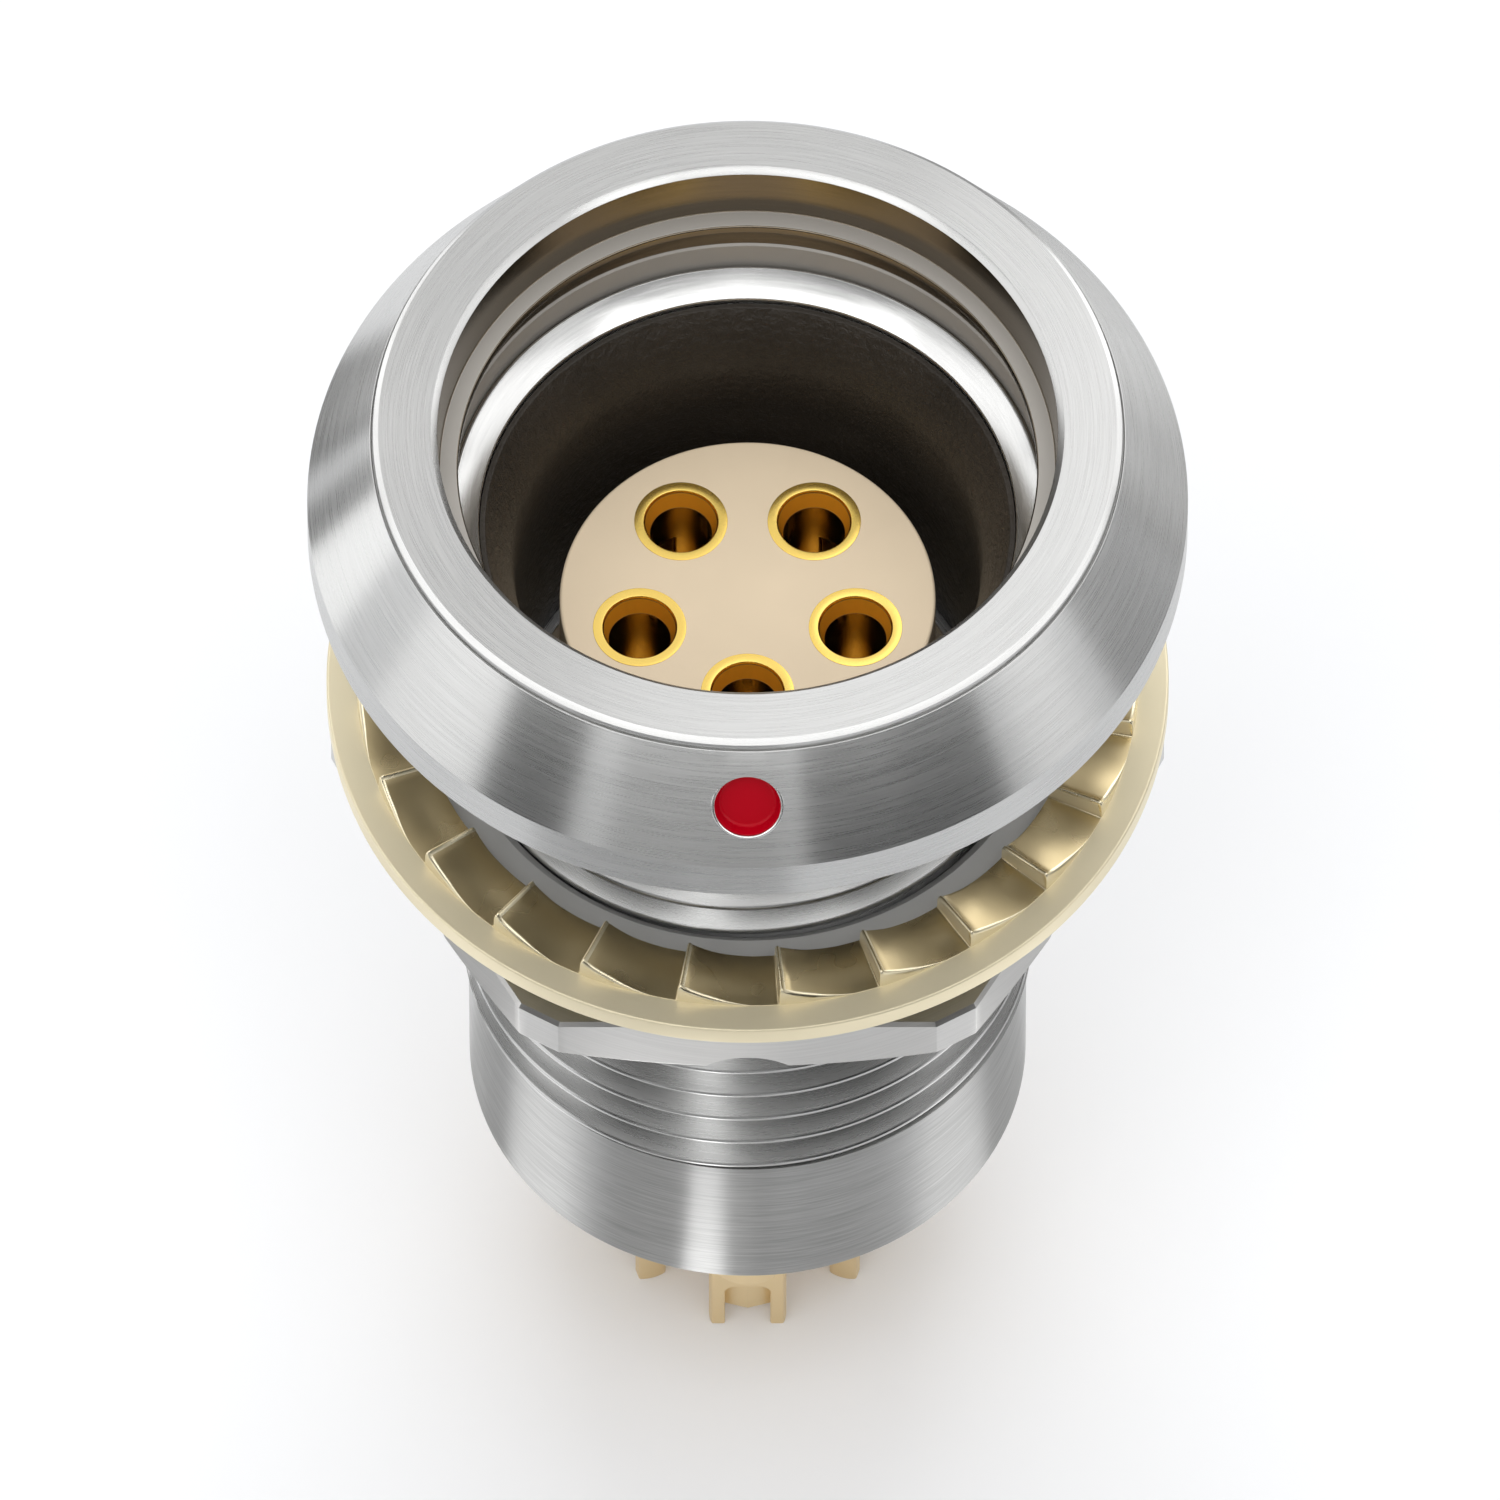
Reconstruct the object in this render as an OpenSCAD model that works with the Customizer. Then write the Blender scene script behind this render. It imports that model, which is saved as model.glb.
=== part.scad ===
// Circular panel receptacle with five socket contacts, held in a panel by a hex nut and a toothed washer.
// Millimetres. +Z runs along the axis towards the mating face and the alignment dot faces -Y.
// The receptacle stands on the tips of its solder forks, at z = 0.

/* [Flange] */
// Largest diameter of the flange
flange_d = 30.6; // [28:0.1:36]
// Diameter of the flat front face
face_d = 26; // [24:0.1:27]
// Height of the flange, from its underside to the front face
flange_h = 6.3; // [5.8:0.1:9]
// Height of the plain band at the foot of the cone
band_h = 1.9; // [1:0.1:3]
// Straight land between the front face's edge and the cone
face_land = 0.3; // [0.1:0.05:0.6]
// Break on the turned outer edges
edge_break = 0.2; // [0.05:0.05:0.4]

/* [Barrel and collar] */
// Outside diameter of the barrel's thread
thread_d = 20; // [19.2:0.1:22]
// Length of the barrel between the flange and the rear collar
thread_len = 25.6; // [22:0.1:34]
// Rise of the thread in one turn
thread_pitch = 1.5; // [0.75:0.05:2]
// Depth of the thread's groove
thread_depth = 0.84; // [0.3:0.02:0.9]
// Width of the flat on the thread's crest
thread_crest = 0.12; // [0.05:0.01:0.2]
// Width of the flat at the thread's root
thread_root = 0.2; // [0.1:0.01:0.3]
// Height of the lowest crest above the rear collar
thread_start = 1.7; // [1:0.05:2.5]
// Least plain length of the barrel between the thread and the flange
thread_runout = 1.3; // [1.2:0.1:4]
// Diameter of the rear collar
collar_d = 19.6; // [19:0.1:21.5]
// Height of the rear collar
collar_h = 7.4; // [5:0.1:10]
// Wall of the rear collar
collar_wall = 0.8; // [0.5:0.05:0.9]
// Thickness of the collar's inward lip
collar_lip_t = 0.8; // [0.5:0.05:1.5]

/* [Front bore] */
// Diameter of the pilot bore behind the front face
pilot_d = 21.4; // [20.8:0.1:23]
// Depth of the pilot bore down to its ledge
pilot_depth = 2.4; // [1.5:0.05:2.8]
// Chamfer at the pilot bore's mouth
pilot_chamfer = 0.33; // [0.1:0.01:0.5]
// Diameter inside the ledge's lip
lip_d = 20.1; // [19.5:0.1:20.5]
// Thickness of the ledge's lip
lip_t = 0.4; // [0.2:0.05:0.6]
// Diameter of the latch groove under the lip
groove_d = 21; // [20.8:0.1:22]
// Depth of the conical shoulder's outer edge below the front face
shoulder_depth = 5.15; // [4:0.05:5.2]
// Outer diameter of the conical shoulder
shoulder_d = 20.6; // [20:0.1:20.8]
// Inner diameter of the conical shoulder
shoulder_in_d = 18.7; // [18.2:0.1:19]
// Fall of the conical shoulder from its outer to its inner edge
shoulder_fall = 0.75; // [0.3:0.05:0.9]
// Depth of the relief cut round the shoulder
relief_depth = 0.35; // [0.1:0.05:0.5]

/* [Bore sleeve] */
// Inside diameter of the sleeve
sleeve_d = 16.2; // [15.8:0.1:16.6]
// Wall of the sleeve
sleeve_wall = 0.55; // [0.3:0.05:0.6]
// Height of the sleeve's flared mouth
flare_h = 1.9; // [1:0.1:3]
// Width of the keyway
keyway_w = 1.6; // [0.8:0.1:3]
// Depth of the mating cavity below the front face, down to the barrel's inner rib
cavity_depth = 18.5; // [15:0.1:20]
// Height of the barrel's inner rib
rib_h = 1; // [0.6:0.1:2]
// Diameter inside the rib
rib_d = 15.5; // [14.2:0.1:15.8]

/* [Insulators] */
// Diameter of the insulator's front post
post_d = 13.1; // [12.4:0.1:13.6]
// Depth of the post's face below the front face
post_depth = 10.65; // [8:0.05:13]
// Diameter of the barrel's rear bore, which holds the insulators
rear_bore_d = 16.8; // [16.2:0.1:17]
// Height of the front insulator's flange
front_flange_h = 5.5; // [3:0.1:8]
// Diameter of the rear insulator's boss
boss_d = 14; // [13:0.1:15]
// Length of the boss below the rear collar
boss_len = 3.9; // [1:0.1:5]

/* [Contacts] */
// Diameter of the circle that the contacts stand on
contact_circle_d = 7.9; // [7.4:0.05:8.4]
// Outside diameter of a contact's socket
socket_d = 3.2; // [3:0.05:3.4]
// Diameter of the socket's hole, for a 2 mm pin
socket_hole_d = 2.15; // [2.05:0.05:2.3]
// Diameter of the lead-in at the socket's mouth
lead_in_d = 2.6; // [2.4:0.05:2.8]
// Depth of the lead-in
lead_in_depth = 0.75; // [0.3:0.05:1.2]
// Depth of the socket's hole
socket_depth = 9; // [6:0.1:11]
// Diameter of the contact's shoulder
contact_shoulder_d = 4.1; // [3.7:0.05:4.3]
// Height of the contact's shoulder
contact_shoulder_h = 1.5; // [0.8:0.1:3]
// Diameter of the contact's rear shank
shank_d = 2.9; // [2.6:0.05:3]
// Length of the contacts' tails below the rear collar
tail_len = 11.3; // [9.5:0.1:15]
// Height of the flattened fork at the end of a tail
fork_h = 4; // [3.2:0.1:5]
// Thickness of the fork
fork_t = 1; // [0.8:0.05:1.4]
// Width of the slot between the fork's prongs
slot_w = 1.6; // [1.2:0.05:1.8]
// Height of the slot
slot_h = 2.4; // [1.6:0.1:2.8]
// Height of the web's lower edge above the prongs' tips
web_lift = 0.65; // [0.3:0.05:1]
// Thickness of the web at its ridge
web_t = 0.7; // [0.5:0.05:0.8]
// Thickness of the web at its edges
web_edge_t = 0.45; // [0.3:0.05:0.5]
// Depth of the spring clip's groove
clip_groove = 0.24; // [0.1:0.02:0.3]
// Depth of the clip's groove below the socket's mouth
clip_depth = 2.2; // [1.6:0.1:4]
// Height of the spring clip
clip_h = 2.4; // [1.5:0.1:4]
// Width of the window that the clip's pad reaches through
window_w = 1; // [0.6:0.1:1.2]

/* [Lock washer] */
// Outside diameter of the lock washer
washer_d = 29.4; // [28.4:0.1:34]
// Diameter of the washer's hole
washer_hole_d = 23.2; // [22.4:0.1:24]
// Thickness of the washer's disc
washer_t = 0.8; // [0.5:0.05:1.5]
// Diameter round the outside of the teeth
teeth_d = 27.3; // [26:0.1:28]
// Number of teeth
tooth_count = 24; // [18:1:30]
// Height of a tooth at its outer end
tooth_h = 0.86; // [0.4:0.02:1.2]
// Angle of the first tooth's crest, from -Y
tooth_phase = 4.7; // [0:0.1:15]
// Open space for the panel, from the flange's underside to the crests of the teeth
panel_gap = 8.55; // [4:0.05:11]

/* [Hex nut] */
// Width of the nut across its flats
nut_af = 26; // [25:0.1:29]
// Height of the nut's hexagon
hex_h = 2.7; // [2:0.1:4]
// Height of the round washer face on top of the hexagon
nut_face_h = 1.4; // [0.5:0.1:2]
// Diameter of the round washer face
nut_face_d = 24.6; // [24.2:0.1:25]
// Depth by which the nut's corners are clipped
corner_clip = 0.46; // [0.2:0.02:0.8]
// Angle of the chamfer under the nut
nut_chamfer_angle = 30; // [15:1:40]
// Width of the shallow scallop in the lower edge of each flat
scallop_w = 3.1; // [2:0.1:5]
// Height of the scallop
scallop_h = 0.6; // [0.3:0.05:0.9]
// Depth of the scallop into the flat
scallop_depth = 0.5; // [0.2:0.05:0.8]

/* [Alignment dot] */
// Diameter of the red dot
dot_d = 2.4; // [1.5:0.1:3]
// Depth of the dot's recess in the cone
dot_depth = 0.5; // [0.3:0.05:0.8]
// Rise of the dot's domed top
dot_dome = 0.18; // [0.05:0.01:0.3]

/* [Clearances] */
// Radial gap between pieces that are fitted into each other
fit_gap = 0.03; // [0.01:0.01:0.06]
// Radial gap between the nut's bore and the barrel
thread_gap = 0.06; // [0.02:0.01:0.1]
// Gap between the nut's washer face and the lock washer
washer_seat_gap = 0.02; // [0.01:0.01:0.1]
// Radial gap round the insulator's boss in the collar's lip
boss_gap = 0.3; // [0.1:0.05:0.6]

/* [Hidden] */
$fn = 96;
contact_count = 5;
contact_numbers = [1 : contact_count];

// Small overlap that makes cuts pass cleanly through a face
cut = 1;

// Levels along the axis, from the floor up
collar_bottom = tail_len;
collar_top = collar_bottom + collar_h;
flange_bottom = collar_top + thread_len;
face_z = flange_bottom + flange_h;

// Levels of the mating cavity and the insulators
rib_top = face_z - cavity_depth;
rib_bottom = rib_top - rib_h;
post_z = face_z - post_depth;
split_z = rib_bottom - front_flange_h;
lip_top = collar_bottom + collar_lip_t;
boss_bottom = collar_bottom - boss_len;

// Levels of the washer and the nut
washer_top = flange_bottom - panel_gap - tooth_h;
washer_bottom = washer_top - washer_t;
nut_top = washer_bottom - washer_seat_gap;
hex_top = nut_top - nut_face_h;
hex_bottom = hex_top - hex_h;

// The thread's section, drawn as plain rings: each turn rises from the root to a crest and falls back
thread_r = thread_d / 2;
thread_root_r = thread_r - thread_depth;
thread_flank = (thread_pitch - thread_crest - thread_root) / 2;
thread_turns = floor((thread_len - thread_start - thread_runout) / thread_pitch);
function crest_z(turn) = collar_top + thread_start + turn * thread_pitch;
function thread_turn(z) = [
    [thread_root_r, z - thread_crest / 2 - thread_flank],
    [thread_r, z - thread_crest / 2],
    [thread_r, z + thread_crest / 2],
    [thread_root_r, z + thread_crest / 2 + thread_flank]
];

// Radii of the shell's inner steps
tail_r = collar_d / 2 - collar_wall;
sleeve_r = sleeve_d / 2 + sleeve_wall;
sleeve_bore_r = sleeve_r + fit_gap;
shoulder_low = face_z - shoulder_depth - shoulder_fall;
// The steel lip below the conical shoulder, which the sleeve's mouth sits under
shoulder_lip = 0.2;
mouth_z = shoulder_low - shoulder_lip;
mouth_r = shoulder_in_d / 2 - 2 * fit_gap;
insulator_r = rear_bore_d / 2 - fit_gap;

// Slope of the flange's cone, where the alignment dot sits
cone_top = face_z - edge_break - face_land;
cone_bottom = flange_bottom + band_h;
cone_angle = atan2((flange_d - face_d) / 2, cone_top - cone_bottom);
dot_share = 0.47;
dot_r = face_d / 2 + dot_share * (flange_d - face_d) / 2;
dot_z = cone_top - dot_share * (cone_top - cone_bottom);

// A solid turned about the axis from half of its section
module turned(section) {
    rotate_extrude() polygon(section);
}

// Moves its children onto the axis of contact i; contact 1 is at -Y and +X then points outwards
module at_contact(i) {
    rotate([0, 0, -90 + (i - 1) * 360 / contact_count])
        translate([contact_circle_d / 2, 0, 0]) children();
}

// Puts its children on the flange's cone at the dot's place, with +Z along the cone's normal
module at_dot() {
    translate([0, -dot_r, dot_z]) rotate([90 - cone_angle, 0, 0]) children();
}

module shell() {
    color("silver") difference() {
        turned([
            // mating side, from the front face inwards and down
            [face_d / 2 - edge_break, face_z],
            [pilot_d / 2 + pilot_chamfer, face_z],
            [pilot_d / 2, face_z - pilot_chamfer],
            [pilot_d / 2, face_z - pilot_depth],
            [lip_d / 2, face_z - pilot_depth],
            [lip_d / 2, face_z - pilot_depth - lip_t],
            [groove_d / 2, face_z - pilot_depth - 2 * lip_t],
            [groove_d / 2, face_z - shoulder_depth - relief_depth],
            [shoulder_d / 2, face_z - shoulder_depth - relief_depth],
            [shoulder_d / 2, face_z - shoulder_depth],
            [shoulder_in_d / 2, shoulder_low],
            [shoulder_in_d / 2, mouth_z],
            [sleeve_bore_r, mouth_z - flare_h],
            [sleeve_bore_r, rib_top],
            [rib_d / 2, rib_top],
            [rib_d / 2, rib_bottom],
            [rear_bore_d / 2, rib_bottom],
            [rear_bore_d / 2, lip_top],
            // outside, from the rear end up
            [tail_r, lip_top],
            [tail_r, collar_top],
            [thread_root_r, collar_top],
            for (turn = [0 : thread_turns - 1], point = thread_turn(crest_z(turn))) point,
            thread_turn(crest_z(thread_turns))[0],
            thread_turn(crest_z(thread_turns))[1],
            [thread_r, flange_bottom],
            [flange_d / 2 - edge_break, flange_bottom],
            [flange_d / 2, flange_bottom + edge_break],
            [flange_d / 2, cone_bottom],
            [face_d / 2, cone_top],
            [face_d / 2, face_z - edge_break]
        ]);
        at_dot() translate([0, 0, -dot_depth])
            cylinder(d = dot_d + 2 * fit_gap, h = dot_depth + cut);
    }
}

module bore_sleeve() {
    color([0.13, 0.11, 0.1]) difference() {
        turned([
            [mouth_r, mouth_z],
            [mouth_r - sleeve_wall / 3, mouth_z],
            [sleeve_d / 2, mouth_z - flare_h],
            [sleeve_d / 2, rib_top],
            [sleeve_r, rib_top],
            [sleeve_r, mouth_z - flare_h]
        ]);
        translate([-keyway_w / 2, -shoulder_d / 2, rib_top - cut])
            cube([keyway_w, shoulder_d / 2, cavity_depth]);
    }
}

module insulator_front() {
    color([0.86, 0.79, 0.68]) difference() {
        turned([
            [0, split_z],
            [insulator_r, split_z],
            [insulator_r, rib_bottom],
            [post_d / 2, rib_bottom],
            [post_d / 2, post_z],
            [0, post_z]
        ]);
        for (i = contact_numbers)
            at_contact(i) translate([0, 0, split_z - cut])
                cylinder(d = socket_d + 2 * fit_gap, h = post_z - split_z + 2 * cut);
    }
}

module insulator_rear() {
    color([0.82, 0.74, 0.62]) difference() {
        turned([
            [0, boss_bottom],
            [boss_d / 2, boss_bottom],
            [boss_d / 2, lip_top],
            [insulator_r, lip_top],
            [insulator_r, split_z],
            [0, split_z]
        ]);
        for (i = contact_numbers) at_contact(i) {
            translate([0, 0, boss_bottom - cut])
                cylinder(d = shank_d + 2 * fit_gap, h = split_z - boss_bottom + cut);
            translate([0, 0, split_z - contact_shoulder_h])
                cylinder(d = contact_shoulder_d + 2 * fit_gap, h = contact_shoulder_h + cut);
        }
    }
}

module rear_collar() {
    color("silver") turned([
        [boss_d / 2 + boss_gap, collar_bottom],
        [collar_d / 2 - edge_break, collar_bottom],
        [collar_d / 2, collar_bottom + edge_break],
        [collar_d / 2, collar_top],
        [tail_r + fit_gap, collar_top],
        [tail_r + fit_gap, lip_top],
        [boss_d / 2 + boss_gap, lip_top]
    ]);
}

// The turned part of a contact, from the socket's mouth down to the tip of its tail
module contact_blank() {
    drill_slope = 31;
    point = socket_hole_d / 2 * tan(drill_slope);
    clip_top = post_z - clip_depth;
    turned([
        [lead_in_d / 2, post_z],
        [socket_hole_d / 2, post_z - lead_in_depth],
        [socket_hole_d / 2, post_z - socket_depth],
        [0, post_z - socket_depth - point],
        [0, fork_h],
        [shank_d / 2, fork_h],
        [shank_d / 2, split_z - contact_shoulder_h],
        [contact_shoulder_d / 2, split_z - contact_shoulder_h],
        [contact_shoulder_d / 2, split_z],
        [socket_d / 2, split_z],
        [socket_d / 2, clip_top - clip_h],
        [socket_d / 2 - clip_groove, clip_top - clip_h],
        [socket_d / 2 - clip_groove, clip_top],
        [socket_d / 2, clip_top],
        [socket_d / 2, post_z]
    ]);
}

// The flattened fork of a contact's tail: two prongs with a thin ridged web set back between them
module fork() {
    slot_r = slot_w / 4;
    difference() {
        intersection() {
            cylinder(d = shank_d, h = fork_h);
            translate([-fork_t / 2, -shank_d / 2, 0]) cube([fork_t, shank_d, fork_h]);
        }
        rotate([90, 0, 90]) translate([0, 0, -fork_t]) linear_extrude(2 * fork_t) {
            translate([-slot_w / 2, -cut]) square([slot_w, slot_h - slot_r + cut]);
            translate([slot_r - slot_w / 2, 0]) square([slot_w - 2 * slot_r, slot_h]);
            for (side = [-1, 1])
                translate([side * (slot_w / 2 - slot_r), slot_h - slot_r]) circle(slot_r);
        }
    }
    translate([0, 0, web_lift]) linear_extrude(slot_h + slot_r - web_lift) polygon([
        [web_t / 2, 0],
        [web_edge_t / 2, slot_w / 2],
        [-web_edge_t / 2, slot_w / 2],
        [-web_t / 2, 0],
        [-web_edge_t / 2, -slot_w / 2],
        [web_edge_t / 2, -slot_w / 2]
    ]);
}

module contact(i) {
    window_h = clip_h * 2 / 3;
    color([0.85, 0.68, 0.3]) at_contact(i) {
        difference() {
            contact_blank();
            translate([0, -window_w / 2, post_z - clip_depth - (clip_h + window_h) / 2])
                cube([socket_d, window_w, window_h]);
        }
        fork();
    }
}

// A C-shaped clip that fills the groove round a socket, with a pad that reaches in through the window
module contact_clip(i) {
    opening = 60;
    ring_h = clip_h - 2 * fit_gap;
    ring_bottom = post_z - clip_depth - clip_h + fit_gap;
    inner_r = socket_d / 2 - clip_groove + fit_gap;
    pad_h = clip_h / 2;
    pad_w = window_w - 2 * fit_gap;
    color("lightgray") at_contact(i) {
        rotate([0, 0, 180 + opening / 2]) rotate_extrude(angle = 360 - opening)
            translate([inner_r, ring_bottom]) square([socket_d / 2 - inner_r, ring_h]);
        translate([socket_hole_d / 2 + fit_gap, -pad_w / 2, ring_bottom + (ring_h - pad_h) / 2])
            cube([socket_d / 2 - clip_groove / 2 - socket_hole_d / 2 - fit_gap, pad_w, pad_h]);
    }
}

// The space between two teeth: a hollow ramp that falls from one crest to the foot of the next riser.
// The ramp is part of a cone whose tip is on the axis, so every edge of a tooth runs towards the axis.
module gullet() {
    pitch_angle = 360 / tooth_count;
    lap = 0.5;
    reach = washer_d / 2;
    run = teeth_d / 2 * sin(pitch_angle);
    // the ramp's arc at the outside of the teeth dips a little below the disc at the next riser's foot
    dip = tooth_h / 40;
    low = run * 0.95;
    ramp_r = (low * low + (tooth_h + dip) * (tooth_h + dip)) / (2 * (tooth_h + dip));
    axis_rise = atan2(ramp_r - dip, teeth_d / 2);
    slant = norm([teeth_d / 2, ramp_r - dip]);
    intersection() {
        rotate([0, 0, -lap]) rotate_extrude(angle = pitch_angle + lap)
            translate([washer_hole_d / 2 - cut, 0])
                square([reach - washer_hole_d / 2 + cut, 2 * tooth_h]);
        translate([0, low, 0]) rotate([0, 90 - axis_rise, 0])
            cylinder(r1 = 0, r2 = ramp_r * reach / (teeth_d / 2), h = slant * reach / (teeth_d / 2));
    }
}

module lock_washer() {
    color([0.76, 0.68, 0.5]) translate([0, 0, washer_top]) difference() {
        turned([
            [washer_hole_d / 2, -washer_t],
            [washer_d / 2, -washer_t],
            [washer_d / 2, 0],
            [teeth_d / 2, 0],
            [teeth_d / 2, tooth_h],
            [washer_hole_d / 2, tooth_h]
        ]);
        for (k = [0 : tooth_count - 1])
            rotate([0, 0, -90 + tooth_phase + k * 360 / tooth_count]) gullet();
    }
}

module hex_nut() {
    flat_r = nut_af / 2;
    corner_r = flat_r / cos(30);
    clip_r = (corner_r - corner_clip) / cos(30);
    chamfer_rise = (corner_r - flat_r) * tan(nut_chamfer_angle);
    scallop_r = (pow(scallop_w / 2, 2) + pow(scallop_h, 2)) / (2 * scallop_h);
    color("silver") difference() {
        intersection() {
            translate([0, 0, hex_bottom]) cylinder(r = corner_r, h = nut_top - hex_bottom, $fn = 6);
            translate([0, 0, hex_bottom]) rotate([0, 0, 30])
                cylinder(r = clip_r, h = nut_top - hex_bottom, $fn = 6);
            turned([
                [thread_r + thread_gap, hex_bottom],
                [flat_r, hex_bottom],
                [corner_r, hex_bottom + chamfer_rise],
                [corner_r, hex_top],
                [nut_face_d / 2, hex_top],
                [nut_face_d / 2, nut_top],
                [thread_r + thread_gap, nut_top]
            ]);
        }
        for (side = [0 : 5])
            rotate([0, 0, side * 60])
                translate([0, -flat_r - cut, hex_bottom - scallop_r + scallop_h]) rotate([-90, 0, 0])
                    cylinder(r = scallop_r, h = scallop_depth + cut);
    }
}

module alignment_dot() {
    dome_r = (pow(dot_d / 2, 2) + pow(dot_dome, 2)) / (2 * dot_dome);
    color([0.66, 0.02, 0.09]) at_dot() intersection() {
        translate([0, 0, -dot_depth]) cylinder(d = dot_d, h = dot_depth + dot_dome);
        translate([0, 0, dot_dome - dome_r - dot_dome / 2]) sphere(r = dome_r);
    }
}

shell();
bore_sleeve();
insulator_front();
insulator_rear();
rear_collar();
for (i = contact_numbers) contact(i);
for (i = contact_numbers) contact_clip(i);
lock_washer();
hex_nut();
alignment_dot();
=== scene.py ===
import math

import bmesh
import bpy
from bpy.props import FloatProperty, FloatVectorProperty, IntProperty, PointerProperty
from mathutils import Matrix, Vector


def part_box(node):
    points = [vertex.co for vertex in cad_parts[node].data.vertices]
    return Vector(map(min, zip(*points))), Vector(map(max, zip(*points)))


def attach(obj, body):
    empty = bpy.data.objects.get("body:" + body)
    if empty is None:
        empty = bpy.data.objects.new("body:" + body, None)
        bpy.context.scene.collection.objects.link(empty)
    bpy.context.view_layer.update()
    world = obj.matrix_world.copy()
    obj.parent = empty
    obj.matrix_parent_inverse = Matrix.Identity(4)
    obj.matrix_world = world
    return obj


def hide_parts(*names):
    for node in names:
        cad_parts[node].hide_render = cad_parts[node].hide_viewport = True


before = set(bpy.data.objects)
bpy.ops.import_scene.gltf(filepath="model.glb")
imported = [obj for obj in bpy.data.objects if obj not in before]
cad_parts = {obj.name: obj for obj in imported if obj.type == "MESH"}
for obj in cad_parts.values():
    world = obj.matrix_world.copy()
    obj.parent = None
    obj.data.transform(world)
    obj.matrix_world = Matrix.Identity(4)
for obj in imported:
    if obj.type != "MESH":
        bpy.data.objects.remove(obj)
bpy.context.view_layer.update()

bl_info = {
    "name": "Panel receptacle",
    "version": (1, 0, 0),
    "blender": (4, 5, 0),
    "location": "View3D > Sidebar > Receptacle",
    "description": "Dresses a five-contact panel receptacle and lights it in a small studio",
    "category": "Object",
}

# Geometry is worked out in millimetres and stored in metres.
MM = 0.001


def corners(node):
    """Lowest and highest corner of a CAD node, in millimetres."""
    low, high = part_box(node)
    return low / MM, high / MM


def linear(hex_colour):
    """Scene-linear colour of an sRGB hex value such as "#C8C8C6"."""
    levels = [int(hex_colour[i : i + 2], 16) / 255 for i in (1, 3, 5)]
    return tuple(c / 12.92 if c <= 0.04045 else ((c + 0.055) / 1.055) ** 2.4 for c in levels)


SHELL_LOW, SHELL_HIGH = corners("shell")
COLLAR_LOW, COLLAR_HIGH = corners("rear_collar")
SLEEVE_LOW, SLEEVE_HIGH = corners("bore_sleeve")
POST_LOW, POST_HIGH = corners("insulator_front")
WASHER_LOW, WASHER_HIGH = corners("lock_washer")
NUT_LOW, NUT_HIGH = corners("hex_nut")
CONTACT_TOP = corners("contact_1")[1].z
FACE_Z = SHELL_HIGH.z
CONTACTS = 5
CONTACT_CIRCLE_R = 3.95
# The front of the part, where the dot is, faces -Y.
FRONT = -90
QUARTER_TURN = math.pi / 2


def length(label, about, default_mm, low_mm=0.0, high_mm=50.0):
    """A length property that is given in millimetres."""
    return FloatProperty(
        name=label, description=about, default=default_mm * MM,
        min=low_mm * MM, max=high_mm * MM, unit="LENGTH", precision=5,
    )


def colour(label, about, hex_colour):
    """A colour property that is given as an sRGB hex value."""
    return FloatVectorProperty(
        name=label, description=about, default=linear(hex_colour), size=3,
        min=0.0, max=1.0, subtype="COLOR",
    )


class ReceptacleSizes(bpy.types.PropertyGroup):
    """Sizes of the fine detail that the CAD model leaves plain."""

    thread_pitch: length("Thread pitch", "Rise of the barrel's thread in one turn", 1.5, 0.5, 3.0)
    thread_depth: length("Thread depth", "Depth of the thread's groove", 0.84, 0.2, 0.95)
    thread_phase: length("Thread start", "Height of one crest at the front", 20.42)
    turned_round: length("Turned edge", "Radius on the turned steel edges", 0.1, 0.02, 0.2)
    stamped_round: length("Stamped edge", "Radius on the lock washer's edges", 0.09, 0.02, 0.2)
    nut_round: length("Nut edge", "Radius on the nut's edges", 0.1, 0.02, 0.2)
    moulded_round: length("Moulded edge", "Radius on the insulator's edges", 0.12, 0.02, 0.3)
    contact_round: length("Contact edge", "Radius on the contacts' edges", 0.07, 0.02, 0.1)
    tooth_count: IntProperty(name="Teeth", description="Teeth on the lock washer", default=24, min=8, max=60)


class ReceptacleColours(bpy.types.PropertyGroup):
    """Colours of the finishes."""

    steel: colour("Steel", "Turned stainless steel", "#BBBBBA")
    # Darker and browner than the turned steel: painted shade on the wall and grooves inside the front bore.
    bore_steel_painted_shade: colour("Bored steel", "Wall and grooves of the front bore", "#766D60")
    step_steel: colour("Blasted steel", "Ledge and lower ring of the front bore", "#A6A29C")
    # Lighter than the turned steel: a painted highlight on the rib and the dot's edge, on top of their
    # smoother polish; the nut's blasted end takes the same light tone.
    polished_painted_highlight: colour("Polished steel", "Rib in the bore, edge of the dot and end of the nut", "#CCCCCB")
    nut_steel: colour("Nut steel", "Milled stainless steel", "#C4C3C1")
    washer: colour("Washer plate", "Pale gold plate on spring bronze", "#EADFC0")
    sleeve: colour("Sleeve", "Dark moulded phenolic", "#2F2A24")
    insulator: colour("Insulator", "Beige moulded PEEK", "#E4D1B4")
    gold: colour("Gold plate", "Gold plate on turned brass", "#F2D070")
    bore: colour("Socket hole", "Dull brass down the sockets' holes", "#E0C78C")
    lead_in: colour("Socket lead-in", "Matt plate on the sockets' tapered mouths", "#F2A32C")
    tail: colour("Tail plate", "Thin gold flash on the solder tails", "#EAD5AC")
    # Darker than the washer's plate: painted shade on the ramps under the flange.
    ramp: colour("Tooth ramps", "Burnished plating on the washer's teeth", "#C2B18A")
    bronze: colour("Spring bronze", "Bare spring bronze", "#C9A36A")
    enamel: colour("Enamel", "Red stove enamel", "#AE0018")
    floor: colour("Floor", "White studio floor", "#F1F2F4")


# Meshes


def circle(radius, count, middle_u=0.0):
    """Outline of a circle, of so many points, whose middle lies on the u axis."""
    turns = [math.tau * k / count for k in range(count)]
    return [(middle_u + radius * math.cos(turn), radius * math.sin(turn)) for turn in turns]


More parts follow.
